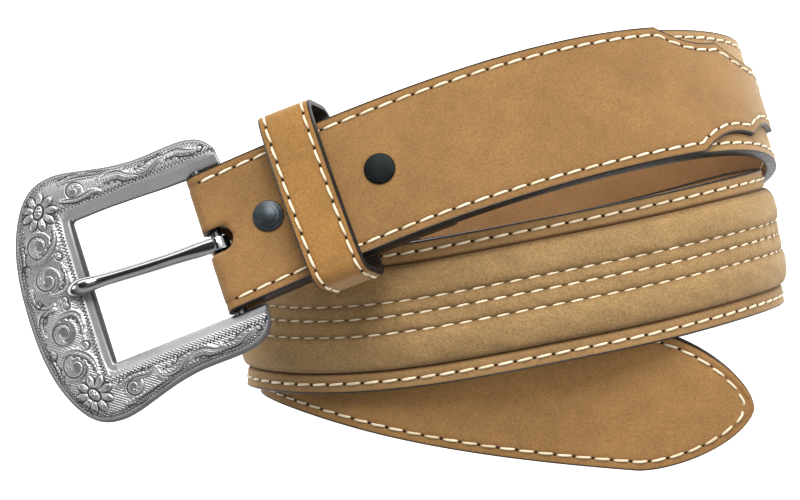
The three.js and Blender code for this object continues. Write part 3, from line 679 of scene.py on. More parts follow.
rings, uv, tone, edge = buckle_billet_rings()
buckle_billet = loft("buckle_billet_leather", rings, [NUBUCK, EDGE], slot_of=edge, uv=uv, tone=tone)


def carve(obj, cutter):
    """Cuts the cutter out of the object and removes it."""
    cut = obj.modifiers.new("cut", "BOOLEAN")
    cut.operation = "DIFFERENCE"
    cut.solver = "EXACT"
    cut.object = cutter
    cut.material_mode = "TRANSFER"
    graph = bpy.context.evaluated_depsgraph_get()
    carved = bpy.data.meshes.new_from_object(obj.evaluated_get(graph))
    obj.modifiers.clear()
    plain = obj.data
    obj.data = carved
    bpy.data.meshes.remove(plain)
    bpy.data.objects.remove(cutter)


def prism(outline, axes, low, high):
    """A cutter: an outline along two ways from an origin, from low to high along the third."""
    origin, x_way, y_way, z_way = axes
    rings = [[origin + x_way * x + y_way * y + z_way * z for x, y in outline] for z in (low, high)]
    return loft("cutter", rings, [EDGE])


SLOT_ACROSS = -0.1
SLOT_HALF = 3.4
SLOT_END = 7.9
BACK_SLOT_END = 6.2
SLOT_BEFORE = 6.0
SLOT_TOP = 6.0
SLOT_BOTTOM = -10.0


def slot_outline(end):
    turns = np.radians(np.linspace(-90, 90, 25))
    round_end = [(end - SLOT_HALF * (1 - math.cos(t)), SLOT_ACROSS + SLOT_HALF * math.sin(t)) for t in turns]
    square = [(-SLOT_BEFORE, SLOT_ACROSS + side * SLOT_HALF) for side in (-1, 1)]
    return [square[0], *round_end, square[1]]


slot_axes = (strap_point(0.0, 0.0, 0.0), *strap_frame(np.array(FOLD_OUTER))[1:])
carve(buckle_billet, prism(slot_outline(SLOT_END), slot_axes, BAR_HEIGHT, SLOT_TOP))
carve(buckle_billet, prism(slot_outline(BACK_SLOT_END), slot_axes, SLOT_BOTTOM, BAR_HEIGHT + 0.1))
dress(buckle_billet, "strap", "nubuck", "buckle_billet")

HOLE_RADIUS = 2.4
HOLE_PITCH = 25.4
HOLE_FIRST = 108.0
HOLE_COUNT = 5
HOLE_REACH = 7.0
circle = [(HOLE_RADIUS * math.cos(t), HOLE_RADIUS * math.sin(t)) for t in full_turn(32)]
for k in range(HOLE_COUNT):
    axes = strap_frame(np.array(STRAP_END - HOLE_FIRST - k * HOLE_PITCH))
    for piece in (middle_strap, lining, tip_billet):
        carve(piece, prism(circle, axes, -HOLE_REACH, HOLE_REACH))

# Padded panel
PANEL_BASE = -0.3
STITCH_ROWS = (-3.9, 0.6, 4.3)
VALLEY = 1.15
CROWN = (2.35, 1.95, 1.85, 2.35)
EDGE_CROWN = 0.1
GATHER = 0.16
GATHER_BESIDE = 0.08
CENTRE_PITCH = 4.85
EDGE_PITCH = 5.05
CHANNELS = (-PANEL_HALF, *STITCH_ROWS, PANEL_HALF)
FLOORS = (EDGE_CROWN, VALLEY, VALLEY, VALLEY, EDGE_CROWN)
CHANNEL_COLUMNS = (26, 14, 12, 26)
WAVES = (
    # height, length over 2 pi, slant, shift
    (0.05, 3.1, 0.7, 0.0),
    (0.05, 5.3, -0.45, 1.7),
    (0.04, 1.9, 1.3, 0.0),
)
PANEL_END_ROWS = np.array([0, 0.4, 1, 2, 3, 4.5, 6, 8, 10, 12, 14, 16, 18, 20, 22])
PANEL_STATION = 0.97


def panel_height(s, across, wide, narrow):
    """Puffed channels between the cut line and the rows of stitching, with small gathers at each stitch."""
    v = across / (wide / PANEL_HALF)
    height = np.zeros_like(v)
    for crown, left, right, low_left, low_right in zip(CROWN, CHANNELS, CHANNELS[1:], FLOORS, FLOORS[1:]):
        t = np.clip((v - left) / (right - left), 0, 1)
        bulge = (crown - (low_left + low_right) / 2) * (1 - np.abs(2 * t - 1) ** 2.4) ** 0.62
        here = (v >= left) & (v <= right)
        height = np.where(here, low_left * (1 - t) + low_right * t + bulge, height)
    phase = 2 * np.pi * s / CENTRE_PITCH
    for row in STITCH_ROWS:
        off = np.abs(v - row)
        height += GATHER * np.exp(-(off / 1.3) ** 2) * np.cos(phase)
        height += GATHER_BESIDE * np.exp(-((off - 1.6) / 1.1) ** 2) * np.cos(phase + 0.8 * row)
    wave = sum(size * np.sin(s / length + v * slant + shift) for size, length, slant, shift in WAVES)
    return PANEL_BASE + (height + wave * (0.3 + 0.7 * narrow) - PANEL_BASE) * (0.5 + 0.5 * narrow)


def panel():
    inner = stations(PANEL_FROM + PANEL_ROUND, PANEL_TO - PANEL_ROUND, PANEL_STATION)
    s = np.concatenate([PANEL_FROM + PANEL_END_ROWS, inner, (PANEL_TO - PANEL_END_ROWS)[::-1]])
    borders = np.array(CHANNELS) / PANEL_HALF
    v = []
    for left, right, count in zip(borders, borders[1:], CHANNEL_COLUMNS):
        share = (1 - np.cos(np.linspace(0, np.pi, count + 1)[:-1])) / 2
        v += list(left + (right - left) * share)
    v = np.array([*v, 1.0])
    wide, narrow = (part[:, None] for part in panel_half(s))
    s = s[:, None]
    across = v * wide
    top = panel_height(s, across, wide, narrow)
    # Painted shade along the panel's edges by the cut line and in the valleys of the stitch rows
    tone = 0.55 * (1 - smoothstep(wide - np.abs(across), 0, 1.3))
    for row in STITCH_ROWS:
        tone = tone + 0.5 * np.exp(-((v * PANEL_HALF - row) / 0.8) ** 2)
    across = np.concatenate([across, wide, wide * 0, -wide], 1)
    under = np.ones((len(s), 3))
    rings = strap_point(s, across, np.concatenate([top, PANEL_BASE * under], 1))
    uv = np.stack([np.broadcast_to(s, across.shape), across], -1)
    # Full painted shade on the hidden underside
    tone = np.concatenate([np.clip(tone, 0, 1), under], 1)
    return loft("center_panel_suede", rings, [SUEDE], uv=uv, tone=tone, sharp=None)


panel_piece = dress(panel(), "strap", "suede", "center_panel")

# Keeper
KEEPER_AT = 33.0
KEEPER_LONG = 14.2
KEEPER_SLANT = 0.22
KEEPER_THICK = 1.6
KEEPER_TURN = math.radians(-2)
KEEPER_HALF = 24.6
KEEPER_ROOM = 6.6
KEEPER_CORNER = 2.6
KEEPER_CROWN = 1.2
KEEPER_STITCH = 1.9
KEEPER_CHANNEL = (0.6, 0.18)
KEEPER_FALL = 0.14
KEEPER_ROUND = 0.4
KEEPER_INSETS = (0.45, 0.8, 1.2, 1.6, 1.9, 2.2, 2.6, 3.2, 4.5)
PLY_GAP = 0.3


def keeper_outline():
    """Points of the inner face round the loop, with the way out at each."""
    floor = BACK_LEG_FACE - PLY_GAP
    side = KEEPER_HALF - KEEPER_THICK
    crown = BILLET_FACE + KEEPER_ROOM
    points, ways = [], []

    def corner(x, y, start):
        for angle in np.radians(start + np.linspace(0, 90, 9)):
            way = np.array([math.cos(angle), math.sin(angle)])
            points.append((x, y) + way * KEEPER_CORNER)
            ways.append(way)

    def run(first, last, count, way):
        points.extend(np.linspace(first, last, count + 2)[1:-1])
        ways.extend([way] * count)

    inner = side - KEEPER_CORNER
    low = floor + KEEPER_CORNER
    high = crown - KEEPER_CROWN - KEEPER_CORNER
    run((-inner, floor), (inner, floor), 12, (0, -1))
    corner(inner, low, -90)
    run((side, low), (side, high), 4, (1, 0))
    corner(inner, high, 0)
    for share in np.linspace(0.84, -0.84, 25):
        points.append((share * side, crown - share * share * KEEPER_CROWN))
        ways.append(unit(np.array([2 * share * KEEPER_CROWN / side, 1.0])))
    corner(-inner, high, 90)
    run((-side, high), (-side, low), 4, (-1, 0))
    corner(-inner, low, 180)
    return np.array(points), np.array(ways, float)


def turned(v, axis, angle):
    """v turned about a unit axis."""
    c, s = math.cos(angle), math.sin(angle)
    return v * c + np.cross(axis, v) * s + axis * axis.dot(v) * (1 - c)


def keeper_place(point, lengthwise):
    """A point of the loop from its place in the section and along the belt."""
    middle, along, across, out = strap_frame(np.array(KEEPER_AT))
    along = turned(along, out, KEEPER_TURN)
    across = turned(across, out, KEEPER_TURN)
    x, y = point[..., 0:1], point[..., 1:2]
    return middle + across * x + out * y + along * (lengthwise[..., None] - y * KEEPER_SLANT)


def keeper():
    points, ways = keeper_outline()
    half = KEEPER_LONG / 2
    face = np.array([*KEEPER_INSETS, half])
    dip = groove(face - KEEPER_STITCH, *KEEPER_CHANNEL) - KEEPER_FALL * (1 - smoothstep(face, 0, 1.6))
    inset = np.concatenate([[0], KEEPER_ROUND * (1 - np.cos(EDGE_TURNS)), face])
    raised = np.concatenate([[0], KEEPER_THICK - KEEPER_ROUND * (1 - np.sin(EDGE_TURNS)), KEEPER_THICK + dip])
    lengthwise = np.append(inset - half, (half - inset)[-2::-1])
    raised = np.append(raised, raised[-2::-1])
    # The loop's inner face takes the near-black leather, which is painted shade
    edge = [1] * 4 + [0] * 2 * len(KEEPER_INSETS) + [1] * 4 + [2]
    section = points[:, None, :] + ways[:, None, :] * raised[None, :, None]
    lengthwise = np.broadcast_to(lengthwise, section.shape[:2])
    inset = half - np.abs(lengthwise)
    # Painted shade in the stitch channels, and wear at the band's edges
    tone = 0.35 * np.exp(-((inset - KEEPER_STITCH) / 0.7) ** 2) + 0.7 * (1 - smoothstep(inset, 0.2, 0.9))
    round_the_loop = np.arange(len(points))[:, None] * 1.5
    uv = np.stack([lengthwise, np.broadcast_to(round_the_loop, lengthwise.shape)], -1)
    return loft("keeper_leather", keeper_place(section, lengthwise), [NUBUCK_GOLD, EDGE, KEEPER_INSIDE_SHADE],
                slot_of=edge, closed=True, uv=uv, tone=tone)


dress(keeper(), "strap", "nubuck_gold", "keeper_loop")

# Snaps
SNAPS = (
    # s, across, share of the cap's height that is rounded, depth of the ring, metal
    (18.2, 0.4, 0.65, 0.06, GUNMETAL),
    (49.8, 0.6, 0.15, 0.0, GUNMETAL_BLACK),
)
# Profiles as (radius, height), from the leather out
CAP_SIDE = [(0, -0.3), (4.0, -0.3), (4.12, 0.1), (4.15, 0.3)]
CAP_ROUND = (0.45, 0.35)
CAP_RISE = 1.65
RING_RADIUS = 2.4
RING_WIDE = 0.3
BACK_PROFILE = [
    (0, -0.3), (4.5, -0.3), (4.6, 0.2), (4.55, 0.6), (4.2, 0.85),
    (2.6, 0.9), (2.3, 0.55), (1.2, 0.5), (0.9, 0.7), (0, 0.75),
]


def cap_profile(dome, ring_depth):
    """The cap's side, its rounded edge, and its face with a shallow ring."""
    edge, low = CAP_SIDE[-1]
    inwards, up = CAP_ROUND
    arc = np.radians(np.linspace(0, 90, 10))[1:]
    profile = CAP_SIDE + [(edge - inwards * (1 - math.cos(a)), low + up * math.sin(a)) for a in arc]
    flat, base = profile[-1]
    for radius in flat * (1 - np.linspace(0.04, 1, 25)):
        ring = ring_depth * math.exp(-((radius - RING_RADIUS) / RING_WIDE) ** 2)
        profile.append((radius, base + (CAP_RISE - base) * dome * (1 - (radius / flat) ** 2) - ring))
    return profile


def disc(name, profile, axes, material, node):
    """A turned piece from (radius, height) rows that start on the axis."""
    point, x_way, y_way, z_way = axes
    spokes = [x_way * math.cos(t) + y_way * math.sin(t) for t in full_turn(48)]
    rings = []
    for radius, height in profile:
        rings.append([point + spoke * max(radius, 0.01) + z_way * height for spoke in spokes])
    return dress(loft(name, rings, [material], sharp=50), "strap", "gunmetal", node)


for number, (s, v, dome, ring_depth, metal) in enumerate(SNAPS, 1):
    _, along, across, out = strap_frame(np.array(s))
    front = (strap_point(s, v, BILLET_FACE + CLEAR), along, across, out)
    back = (strap_point(s, v, BACK_LEG_FACE - CLEAR), across, along, -out)
    profile = cap_profile(dome, ring_depth)
    disc(f"snap_cap_dome_{number}", profile, front, metal, f"snap_cap_{number}")
    disc(f"snap_back_disc_{number}", BACK_PROFILE, back, metal, f"snap_back_{number}")

# Buckle
BAR_RADIUS = 1.5
BAR_HALF = 20.4
FRAME_DROOP = math.radians(6)
FRAME_ROWS = [
    # window edge across and away, outline across and away, for half of the frame
    (21.1, -6.9, 25.4, -6.4),
    (21.1, -4.1, 28.3, -3.9),
    (21.1, 0.7, 30.0, 1.1),
    (21.1, 7.5, 30.2, 8.1),
    (21.1, 13.7, 30.2, 14.3),
    (21.1, 19.5, 30.9, 20.5),
    (21.1, 25.1, 32.3, 26.7),
    (21.1, 30.8, 33.8, 32.3),
    (21.1, 34.0, 34.7, 37.3),
    (21.1, 35.6, 34.3, 42.1),
    (20.85, 36.15, 32.6, 45.7),
    (20.3, 36.4, 29.2, 48.9),
    (16.6, 36.4, 23.6, 51.9),
    (11.8, 36.4, 16.6, 54.1),
    (6.0, 36.4, 8.4, 55.3),
    (0.0, 36.4, 0.0, 55.6),
]
FRAME_BACK = -1.6
FRAME_RISE = 1.3
BEVEL = 2.9
FRAME_STEP = 0.2
# The window is narrower by BOSS all along its lower arm and near the bar on its upper arm: where that ends
BOSS = 1.3
UPPER_FADE = (2, 30)
LOWER_FADE = (60, 90)
# Heights of the frame at the window's and the outer edge, of its crown, and how it falls and rounds off
WINDOW_LIP = 0.3
RIM_LIP = 0.2
CROWN_FROM = 1.8
CROWN_RISE = 0.45
OUTER_FALL = 1.1
RIM_ROUND = 1.4
RIM_RISE = 1.75
MOUND_RISE = 0.7
CUT_DEPTH = 0.25
# Levels of the window's wall, and of the outer wall with how far in it lies there
WINDOW_WALL = (FRAME_BACK, -1.3, -0.6, 0.0)
OUTER_WALL = ((0.0, 0.0), (0.05, -0.5), (0.25, -1.2), (0.5, FRAME_BACK))
# Painted shade on the window's wall, the outer wall and the underside
WALL_SHADE = 0.9
# The distance to a border where none is drawn
NO_BORDER = 9.0
BORDER_ACROSS = 24.4
BORDER_AWAY = 39.8
RIM_LINES = (2.05, 1.35)


def buckle_axes():
    """The bar's middle, then the ways across, away from the strap and out of the face."""
    _, along, across, out = strap_frame(np.array(FOLD_OUTER))
    bar = unit(across + along * math.tan(FOLD_SKEW))
    away = turned(np.cross(out, bar), bar, -FRAME_DROOP)
    return strap_point(FOLD_OUTER, 0.0, BAR_HEIGHT), bar, away, np.cross(bar, away)


BUCKLE = buckle_axes()


def on_buckle(local):
    middle, bar, away, face = BUCKLE
    local = np.asarray(local, float)
    return middle + local[..., 0:1] * bar + local[..., 1:2] * away + local[..., 2:3] * face


FRAME_AT = np.arange(len(FRAME_ROWS))
FRAME_COLUMNS = np.array(FRAME_ROWS).T
outline_curves = [natural_spline(FRAME_AT, column) for column in FRAME_COLUMNS[2:]]


def window_edge(t):
    return np.stack([np.interp(t, FRAME_AT, column) for column in FRAME_COLUMNS[:2]], -1)


def outline_edge(t):
    return np.stack([curve(t) for curve in outline_curves], -1)


def narrowed(edge, start, end):
    """The window's edge with its arm widened inwards by BOSS, less and less from start to end."""
    share = 1 - smoothstep(edge[:, 1], start, end)
    return edge * np.stack([1 - BOSS / edge[0, 0] * share, np.ones(len(edge))], -1)


def even_steps(curve, last, step):
    """Parameters from 0 to last that lie about a step apart on the curve."""
    fine = np.linspace(0, last, 4000)
    run = run_along(curve(fine))
    return np.interp(np.linspace(0, run[-1], int(run[-1] / step) + 1), run, fine)


def frame_height(distance, width):
    """Height of the plain frame, from the distance to the window's edge."""
    inner = WINDOW_LIP + FRAME_RISE * (1 - np.clip(1 - distance / BEVEL, 0, 1) ** 1.6)
    share = np.clip((distance - CROWN_FROM) / (width - CROWN_FROM), 0, 1)
    crown = CROWN_RISE * np.sin(np.clip(share / 0.45, 0, 1) * np.pi / 2)
    fall = OUTER_FALL * np.clip((share - 0.4) / 0.6, 0, 1) ** 2
    far = np.clip((width - distance) / RIM_ROUND, 0, 1)
    return np.minimum(inner + crown - fall, RIM_LIP + RIM_RISE * np.sqrt(1 - (1 - far) ** 2))


# Engraving, drawn once for the side where across is positive, as maps of cut depths and mound heights.
# A cut is given by its depth, its half width and how much it thins towards its ends.
CELL = 0.08
MAP_FROM = (-1.0, -8.0)
MAP_TO = (37.0, 58.0)
SCROLL_TURNS = 1.35
cut_map = np.zeros([int((to - start) / CELL) for start, to in zip(MAP_FROM, MAP_TO)])
mound_map = np.zeros_like(cut_map)


def press(target, x, y, size_x, size_y, turn, value, fall):
    """Raises the map to a spot's value where the spot is higher. fall shapes the spot."""
    reach = 2.6 * max(size_x, size_y)
    spans = []
    for place, start, count in zip((x, y), MAP_FROM, target.shape):
        low = max(0, int((place - reach - start) / CELL))
        spans.append(slice(low, max(low, min(count, int((place + reach - start) / CELL) + 2))))
    dx, dy = (start + np.arange(span.start, span.stop) * CELL - place
              for place, start, span in zip((x, y), MAP_FROM, spans))
    dx = dx[:, None]
    c, s = math.cos(turn), math.sin(turn)
    distance = ((dx * c + dy * s) / size_x) ** 2 + ((dy * c - dx * s) / size_y) ** 2
    window = target[tuple(spans)]
    np.maximum(window, value * fall(distance), out=window)


def cut_fall(distance):
    return np.exp(-distance)


def dome_fall(distance):
    return np.sqrt(np.clip(1 - distance, 0, 1))


def dot(x, y, size, depth):
    press(cut_map, x, y, size, size, 0, depth, cut_fall)


def stroke(points, depth, wide, taper=0.0):
    """A cut along a line. taper thins it towards both ends."""
    points = np.asarray(points, float)
    run = run_along(points)
    at = np.linspace(0, run[-1], max(2, int(run[-1] / 0.09)))
    for share, x, y in zip(at / run[-1], *at_run(at, run, points).T):
        thin = 1 - taper * abs(2 * share - 1) ** 2
        dot(x, y, wide * thin, depth * thin)


def around(x, y, reach, angle):
    """Points at a reach and angle from (x, y)."""
    return np.stack([x + reach * np.cos(angle), y + reach * np.sin(angle)], -1)


def spiral(x, y, radius, way, start):
    """A leafy scroll: a double line that winds in, shading cuts inside it and a low mound under it."""
    share = np.linspace(0, 1, 60)
    angle = start + way * 2 * np.pi * SCROLL_TURNS * share
    wind = radius * (1 - 0.78 * share ** 0.9)
    stroke(around(x, y, wind, angle), 0.28, 0.27, 0.5)
    stroke(around(x, y, wind * (0.80 - 0.1 * share), angle)[share < 0.62], 0.17, 0.16, 0.7)
    press(mound_map, x, y, radius * 0.98, radius * 0.98, 0, 0.2, dome_fall)
    cuts = int(4 + 1.5 * radius)
    bend = way * np.array([0.0, 0.12, 0.32, 0.62])
    reach = radius * np.array([0.74, 0.62, 0.48, 0.36])
    for k in range(cuts):
        turn = start + way * (0.5 + k * 5.2 / cuts)
        stroke(around(x, y, reach, turn + bend), 0.18, 0.16, 0.8)


def plume(path, widths, lobes, side):
    """A curling leaf along a line: lobed on one side, with ribs that lean forward."""
    at = np.linspace(0, 1, len(path))
    u = np.linspace(0, 1, 70)
    spine = np.stack([natural_spline(at, column)(u) for column in zip(*path)], -1)
    way = unit(np.gradient(spine, axis=0))
    normal = np.stack([-way[:, 1], way[:, 0]], -1) * side
    swell = np.interp(u, np.linspace(0, 1, len(widths)), widths)
    lobed = swell * (0.82 + 0.18 * np.abs(np.sin(np.pi * lobes * u)))
    stroke(spine - normal * (swell * 0.35)[:, None], 0.26, 0.22, 0.5)
    stroke(spine + normal * lobed[:, None], 0.28, 0.24, 0.4)
    stroke(spine, 0.18, 0.15, 0.8)
    for x, y, reach in zip(*spine[::5].T, swell[::5] * 0.95 + 0.2):
        press(mound_map, x, y, reach, reach, 0, 0.32, dome_fall)
    last = len(u) - 1
    for k in range(lobes * 2):
        i = int((0.08 + 0.84 * k / (lobes * 2)) * last)
        parts = (0.15, 0.4, 0.65, 0.85)
        rib = [spine[i] + lobed[i] * (normal[i] * part + way[i] * 0.9 * part ** 1.5) for part in parts]
        stroke(rib, 0.18, 0.16, 0.7)
    for k in range(lobes):
        i = int((k + 0.5) / lobes * last)
        x, y = spine[i] + normal[i] * (lobed[i] + 0.42)
        press(cut_map, x, y, 0.5, 0.225, math.atan2(way[i, 1], way[i, 0]), 0.30, cut_fall)


FLOWER = (26.2, 43.9)
FLOWER_TURN = math.radians(20)
FLOWER_TILT = math.radians(60)
PETALS = 9
DOTS = 6
HATCH = 0.62
HATCH_DEPTH = 0.19
SCROLLS = (
    # across, away, radius, way, start in degrees
    (28.0, 33.0, 3.0, 1, 250),
    (25.9, -3.4, 1.3, 1, 90),
    (17.4, 46.6, 4.1, -1, 200),
    (7.4, 47.0, 4.0, 1, 330),
    (12.5, 51.8, 1.5, 1, 200),
    (12.6, 42.2, 1.7, -1, 60),
    (2.2, 51.6, 1.5, -1, 10),
    (0.9, 44.2, 1.7, 1, 90),
)
PLUMES = (
    # points of the spine, widths, lobes, side
    (((25.6, -3.0), (26.3, 0.5), (27.6, 3.2), (27.3, 6.4), (26.0, 7.4)), (0.5, 1.5, 1.6, 1.2, 0.4), 4, 1),
    (((27.4, 6.2), (27.2, 9.4), (25.9, 12.2), (26.0, 15.2), (27.0, 16.2)), (0.4, 1.3, 1.6, 1.2, 0.4), 4, -1),
    (((25.5, 14.6), (26.3, 17.8), (28.2, 20.6), (28.0, 24.2), (26.6, 25.4)), (0.5, 1.5, 2.0, 1.6, 0.5), 5, 1),
    (((29.9, 22.0), (30.4, 26.0), (31.4, 29.6), (31.9, 33.6), (31.4, 37)), (0.3, 0.8, 1.1, 1.0, 0.3), 5, -1),
    (((25.3, 26.0), (26.0, 28.4), (25.6, 31.4), (26.0, 34.8), (26.9, 38.0)), (0.3, 0.9, 1.0, 0.9, 0.3), 4, 1),
    (((22.8, 50.0), (18.8, 51.6), (15.2, 52.0), (11.0, 53.4), (7.0, 53.3)), (0.3, 0.9, 0.9, 0.8, 0.3), 6, 1),
    (((21.0, 41.2), (17.6, 41.5), (14.8, 43.4), (13.2, 46.4), (13.4, 49.6)), (0.3, 0.9, 1.2, 1, 0.4), 5, -1),
    (((10.4, 42.0), (6.6, 41.4), (3.6, 42.4), (3.0, 45.2), (3.6, 47.8)), (0.3, 0.9, 1.1, 0.9, 0.3), 5, -1),
    (((6.6, 52.2), (3.8, 52.6), (1.4, 51.6), (0.4, 49.2), (0.9, 46.8)), (0.3, 0.8, 0.9, 0.8, 0.3), 4, 1),
)


def flower():
    """A daisy: pointed petals with ribs round an oval ring of dots."""
    x, y = FLOWER

    def oval(turn, half_across, half_along):
        across, along = half_across * np.cos(turn), half_along * np.sin(turn)
        c, s = math.cos(FLOWER_TILT), math.sin(FLOWER_TILT)
        return np.stack([x + across * c - along * s, y + across * s + along * c], -1)

    for turn in FLOWER_TURN + full_turn(PETALS):
        press(mound_map, *around(x, y, 3.7, turn), 2.0, 1.15, turn, 0.45, dome_fall)
        for side in (-1, 1):
            outer = side * np.array((0.29, 0.33, 0.28, 0.14, 0))
            stroke(around(x, y, np.array((2.3, 3.3, 4.4, 5.2, 5.6)), turn + outer), 0.28, 0.24, 0.4)
            inner = side * np.array((0.08, 0.10, 0.09))
            stroke(around(x, y, np.array((2.5, 3.2, 3.9)), turn + inner), 0.18, 0.15, 0.7)
    stroke(oval(np.linspace(0, 2 * np.pi, 40), 1.35, 2.1), 0.32, 0.28)
    press(mound_map, x, y, 1.2, 2.0, FLOWER_TILT, 0.6, dome_fall)
    for turn in full_turn(DOTS):
        dot(*oval(turn, 0.6, 1.1), 0.27, 0.3)


def ground():
    """Fine slanted lines on the ground between the raised ornaments."""
    x, y = (start + np.arange(count) * CELL for start, count in zip(MAP_FROM, cut_map.shape))
    off = np.abs((x[:, None] * 0.8 + y * 0.6) % HATCH - HATCH / 2)
    lines = HATCH_DEPTH * np.exp(-(off / 0.15) ** 2) * (1 - smoothstep(mound_map, 0.02, 0.10))
    np.maximum(cut_map, lines, out=cut_map)


for x, y, radius, way, start in SCROLLS:
    spiral(x, y, radius, way, math.radians(start))
for row in PLUMES:
    plume(*row)
flower()
ground()


def engraved(points):
    """Cut depth and mound height at points of the frame's plane, between the maps' cells."""
    x = (np.abs(points[..., 0]) - MAP_FROM[0]) / CELL
    y = (points[..., 1] - MAP_FROM[1]) / CELL
    i = np.clip(x.astype(int), 0, cut_map.shape[0] - 2)
    j = np.clip(y.astype(int), 0, cut_map.shape[1] - 2)
    u, v = np.clip(x - i, 0, 1), np.clip(y - j, 0, 1)

    def between(grid):
        near = grid[i, j] * (1 - u) + grid[i + 1, j] * u
        far = grid[i, j + 1] * (1 - u) + grid[i + 1, j + 1] * u
        return near * (1 - v) + far * v

    return between(cut_map), between(mound_map)


def frame_body():
    half_t = even_steps(outline_edge, len(FRAME_ROWS) - 1, FRAME_STEP)
    window = window_edge(half_t)
    lower = narrowed(window, *LOWER_FADE)[::-1][1:] * (-1, 1)
    inner = np.concatenate([narrowed(window, *UPPER_FADE), lower])
    outer = outline_edge(half_t)
    outer = np.concatenate([outer, outer[::-1][1:] * (-1, 1)])
    width = np.linalg.norm(outer - inner, axis=1)[:, None]
    way = (outer - inner) / width
    shares = np.concatenate([np.linspace(0, 1, 12)[:-1] ** 1.3 * 0.26, np.linspace(0.26, 1, 84)])
    distance = shares * width
    rim = width - distance
    plane = inner[:, None, :] + way[:, None, :] * distance[..., None]
    cut, mound = engraved(plane)
    cut_inside = smoothstep(distance, 2.6, 3.4) * smoothstep(rim, 0.5, 1.0)
    mound_inside = smoothstep(distance, 3.4, 4.2) * smoothstep(rim, 1.8, 2.6)
    height = frame_height(distance, width) + MOUND_RISE * mound * mound_inside - CUT_DEPTH * cut * cut_inside
    top = np.concatenate([plane, height[..., None]], -1)

    def row(share, inset, z):
        at = inner + way * (share * width + inset)
        return np.insert(at, 2, z, axis=1)[:, None, :]

    window_wall = [row(0, 0, z) for z in WINDOW_WALL]
    outer_wall = [row(1, -inset, z) for inset, z in OUTER_WALL]
    under = [row(share, 0, FRAME_BACK) for share in (0.75, 0.5, 0.25)]
    rings = np.concatenate([*window_wall, top, *outer_wall, *under], 1)

    x, y = np.abs(plane[..., 0]), plane[..., 1]
    far_bar = smoothstep(y, 35.9, 36.2) * (1 - smoothstep(x, 21.5, 23.0))
    beside, beyond = x - BORDER_ACROSS, y - BORDER_AWAY
    # Tone: patina in the cuts, and painted shade at the rim, in the dark line at the far bar's window and on
    # the bevel
    tone = np.maximum.reduce([
        np.clip(cut * 5.5 - 0.1, 0, 1) * cut_inside,
        0.8 * (1 - smoothstep(rim, 0.4, 1.5)),
        0.95 * far_bar * (1 - smoothstep(distance, 0.6, 0.8)),
        (0.35 + 0.4 * far_bar) * smoothstep(distance, 0.6, 1.0) * (1 - smoothstep(distance, 2.4, 3.0)),
    ])

    def field(values, elsewhere=NO_BORDER):
        whole = np.full(rings.shape[:2], elsewhere)
        whole[:, len(WINDOW_WALL):len(WINDOW_WALL) + len(shares)] = values
        return whole

    return loft(
        "frame", on_buckle(rings), [SILVER_ENGRAVED], sharp=60,
        tone=field(tone, WALL_SHADE),
        border_run=field(np.where(beside > beyond, y, BORDER_AWAY + BORDER_ACROSS - x)),
        border_gap=field(np.maximum(beside, beyond)),
        rim_run=field(run_along(outer)[:, None]),
        rim_gap=field(rim - RIM_LINES[0]),
        rim_gap_2=field(rim - RIM_LINES[1]),
    )


def buckle_bar():
    spokes = [(BAR_RADIUS * math.cos(a), BAR_RADIUS * math.sin(a)) for a in full_turn(32)]
    rings = [[(x, *spoke) for spoke in spokes] for x in np.linspace(-BAR_HALF, BAR_HALF, 24)]
    return loft("bar", on_buckle(rings), [SILVER_BAR_SHADE])


dress(joined("buckle_frame_silver", [frame_body(), buckle_bar()]), "buckle", "silver", "buckle_frame")

PRONG_YAW = math.radians(4)
PRONG_ACROSS = -0.7
PRONG_LOOP_IN = 1.8
PRONG_LOOP_OUT = 3.1
PRONG_LOOP_HALF = 1.8
PRONG_LOOP_ROUND = 0.35
PRONG_ROD = [
    # distance from the bar, height, half width, half thickness
    (-0.6, 2.3, 1.85, 0.7),
    (3, 2.3, 2.15, 1.0),
    (8, 2.25, 2.05, 1.25),
    (18, 2.2, 1.85, 1.3),
    (28, 2.9, 1.8, 1.3),
    (34, 3.6, 2.0, 1.3),
    (38.2, 3.95, 2.3, 1.55),
    (42.8, 3.95, 1.3, 0.8),
]
TIP_FROM = 38.2
TIP_REACH = 4.6
TIP_DROP = 1.3


def prong_rod():
    at, *columns = zip(*PRONG_ROD)
    height, half, thick = (natural_spline(at, column) for column in columns)
    tip = TIP_FROM + TIP_REACH * np.sin(np.radians(np.linspace(5, 90, 22)))
    y = np.concatenate([np.linspace(at[0], TIP_FROM, 60), tip])
    before_tip = np.minimum(y, TIP_FROM)
    over = np.maximum(0.0, (y - TIP_FROM) / TIP_REACH)
    close = np.sqrt(np.maximum(0.002, 1 - over * over))
    wide, high = half(before_tip) * close, thick(before_tip) * close
    centre = height(before_tip) - TIP_DROP * over ** 1.6
    turns = full_turn(32)
    x = wide[:, None] * np.cos(turns)
    z = centre[:, None] + high[:, None] * np.sin(turns)
    y = y[:, None]
    c, s = math.cos(PRONG_YAW), math.sin(PRONG_YAW)
    rings = np.stack([x * c + y * s + PRONG_ACROSS, y * c - x * s, z], -1)
    return loft("rod", on_buckle(rings), [SILVER_POLISHED])


def prong_loop():
    side = PRONG_LOOP_HALF - PRONG_LOOP_ROUND
    low, high = PRONG_LOOP_IN + PRONG_LOOP_ROUND, PRONG_LOOP_OUT - PRONG_LOOP_ROUND
    section = []
    for x, r, start in ((side, high, 0), (-side, high, 90), (-side, low, 180), (side, low, 270)):
        section += list(around(x, r, PRONG_LOOP_ROUND, np.radians(start + np.linspace(0, 90, 6))))
    spokes = [(math.cos(a), math.sin(a)) for a in full_turn(48)]
    rings = [[(PRONG_ACROSS + x, r * y, r * z) for x, r in section] for y, z in spokes]
    return loft("loop", on_buckle(rings), [SILVER_POLISHED], closed=True)


dress(joined("buckle_prong_silver", [prong_rod(), prong_loop()]), "prong", "silver", "buckle_prong")


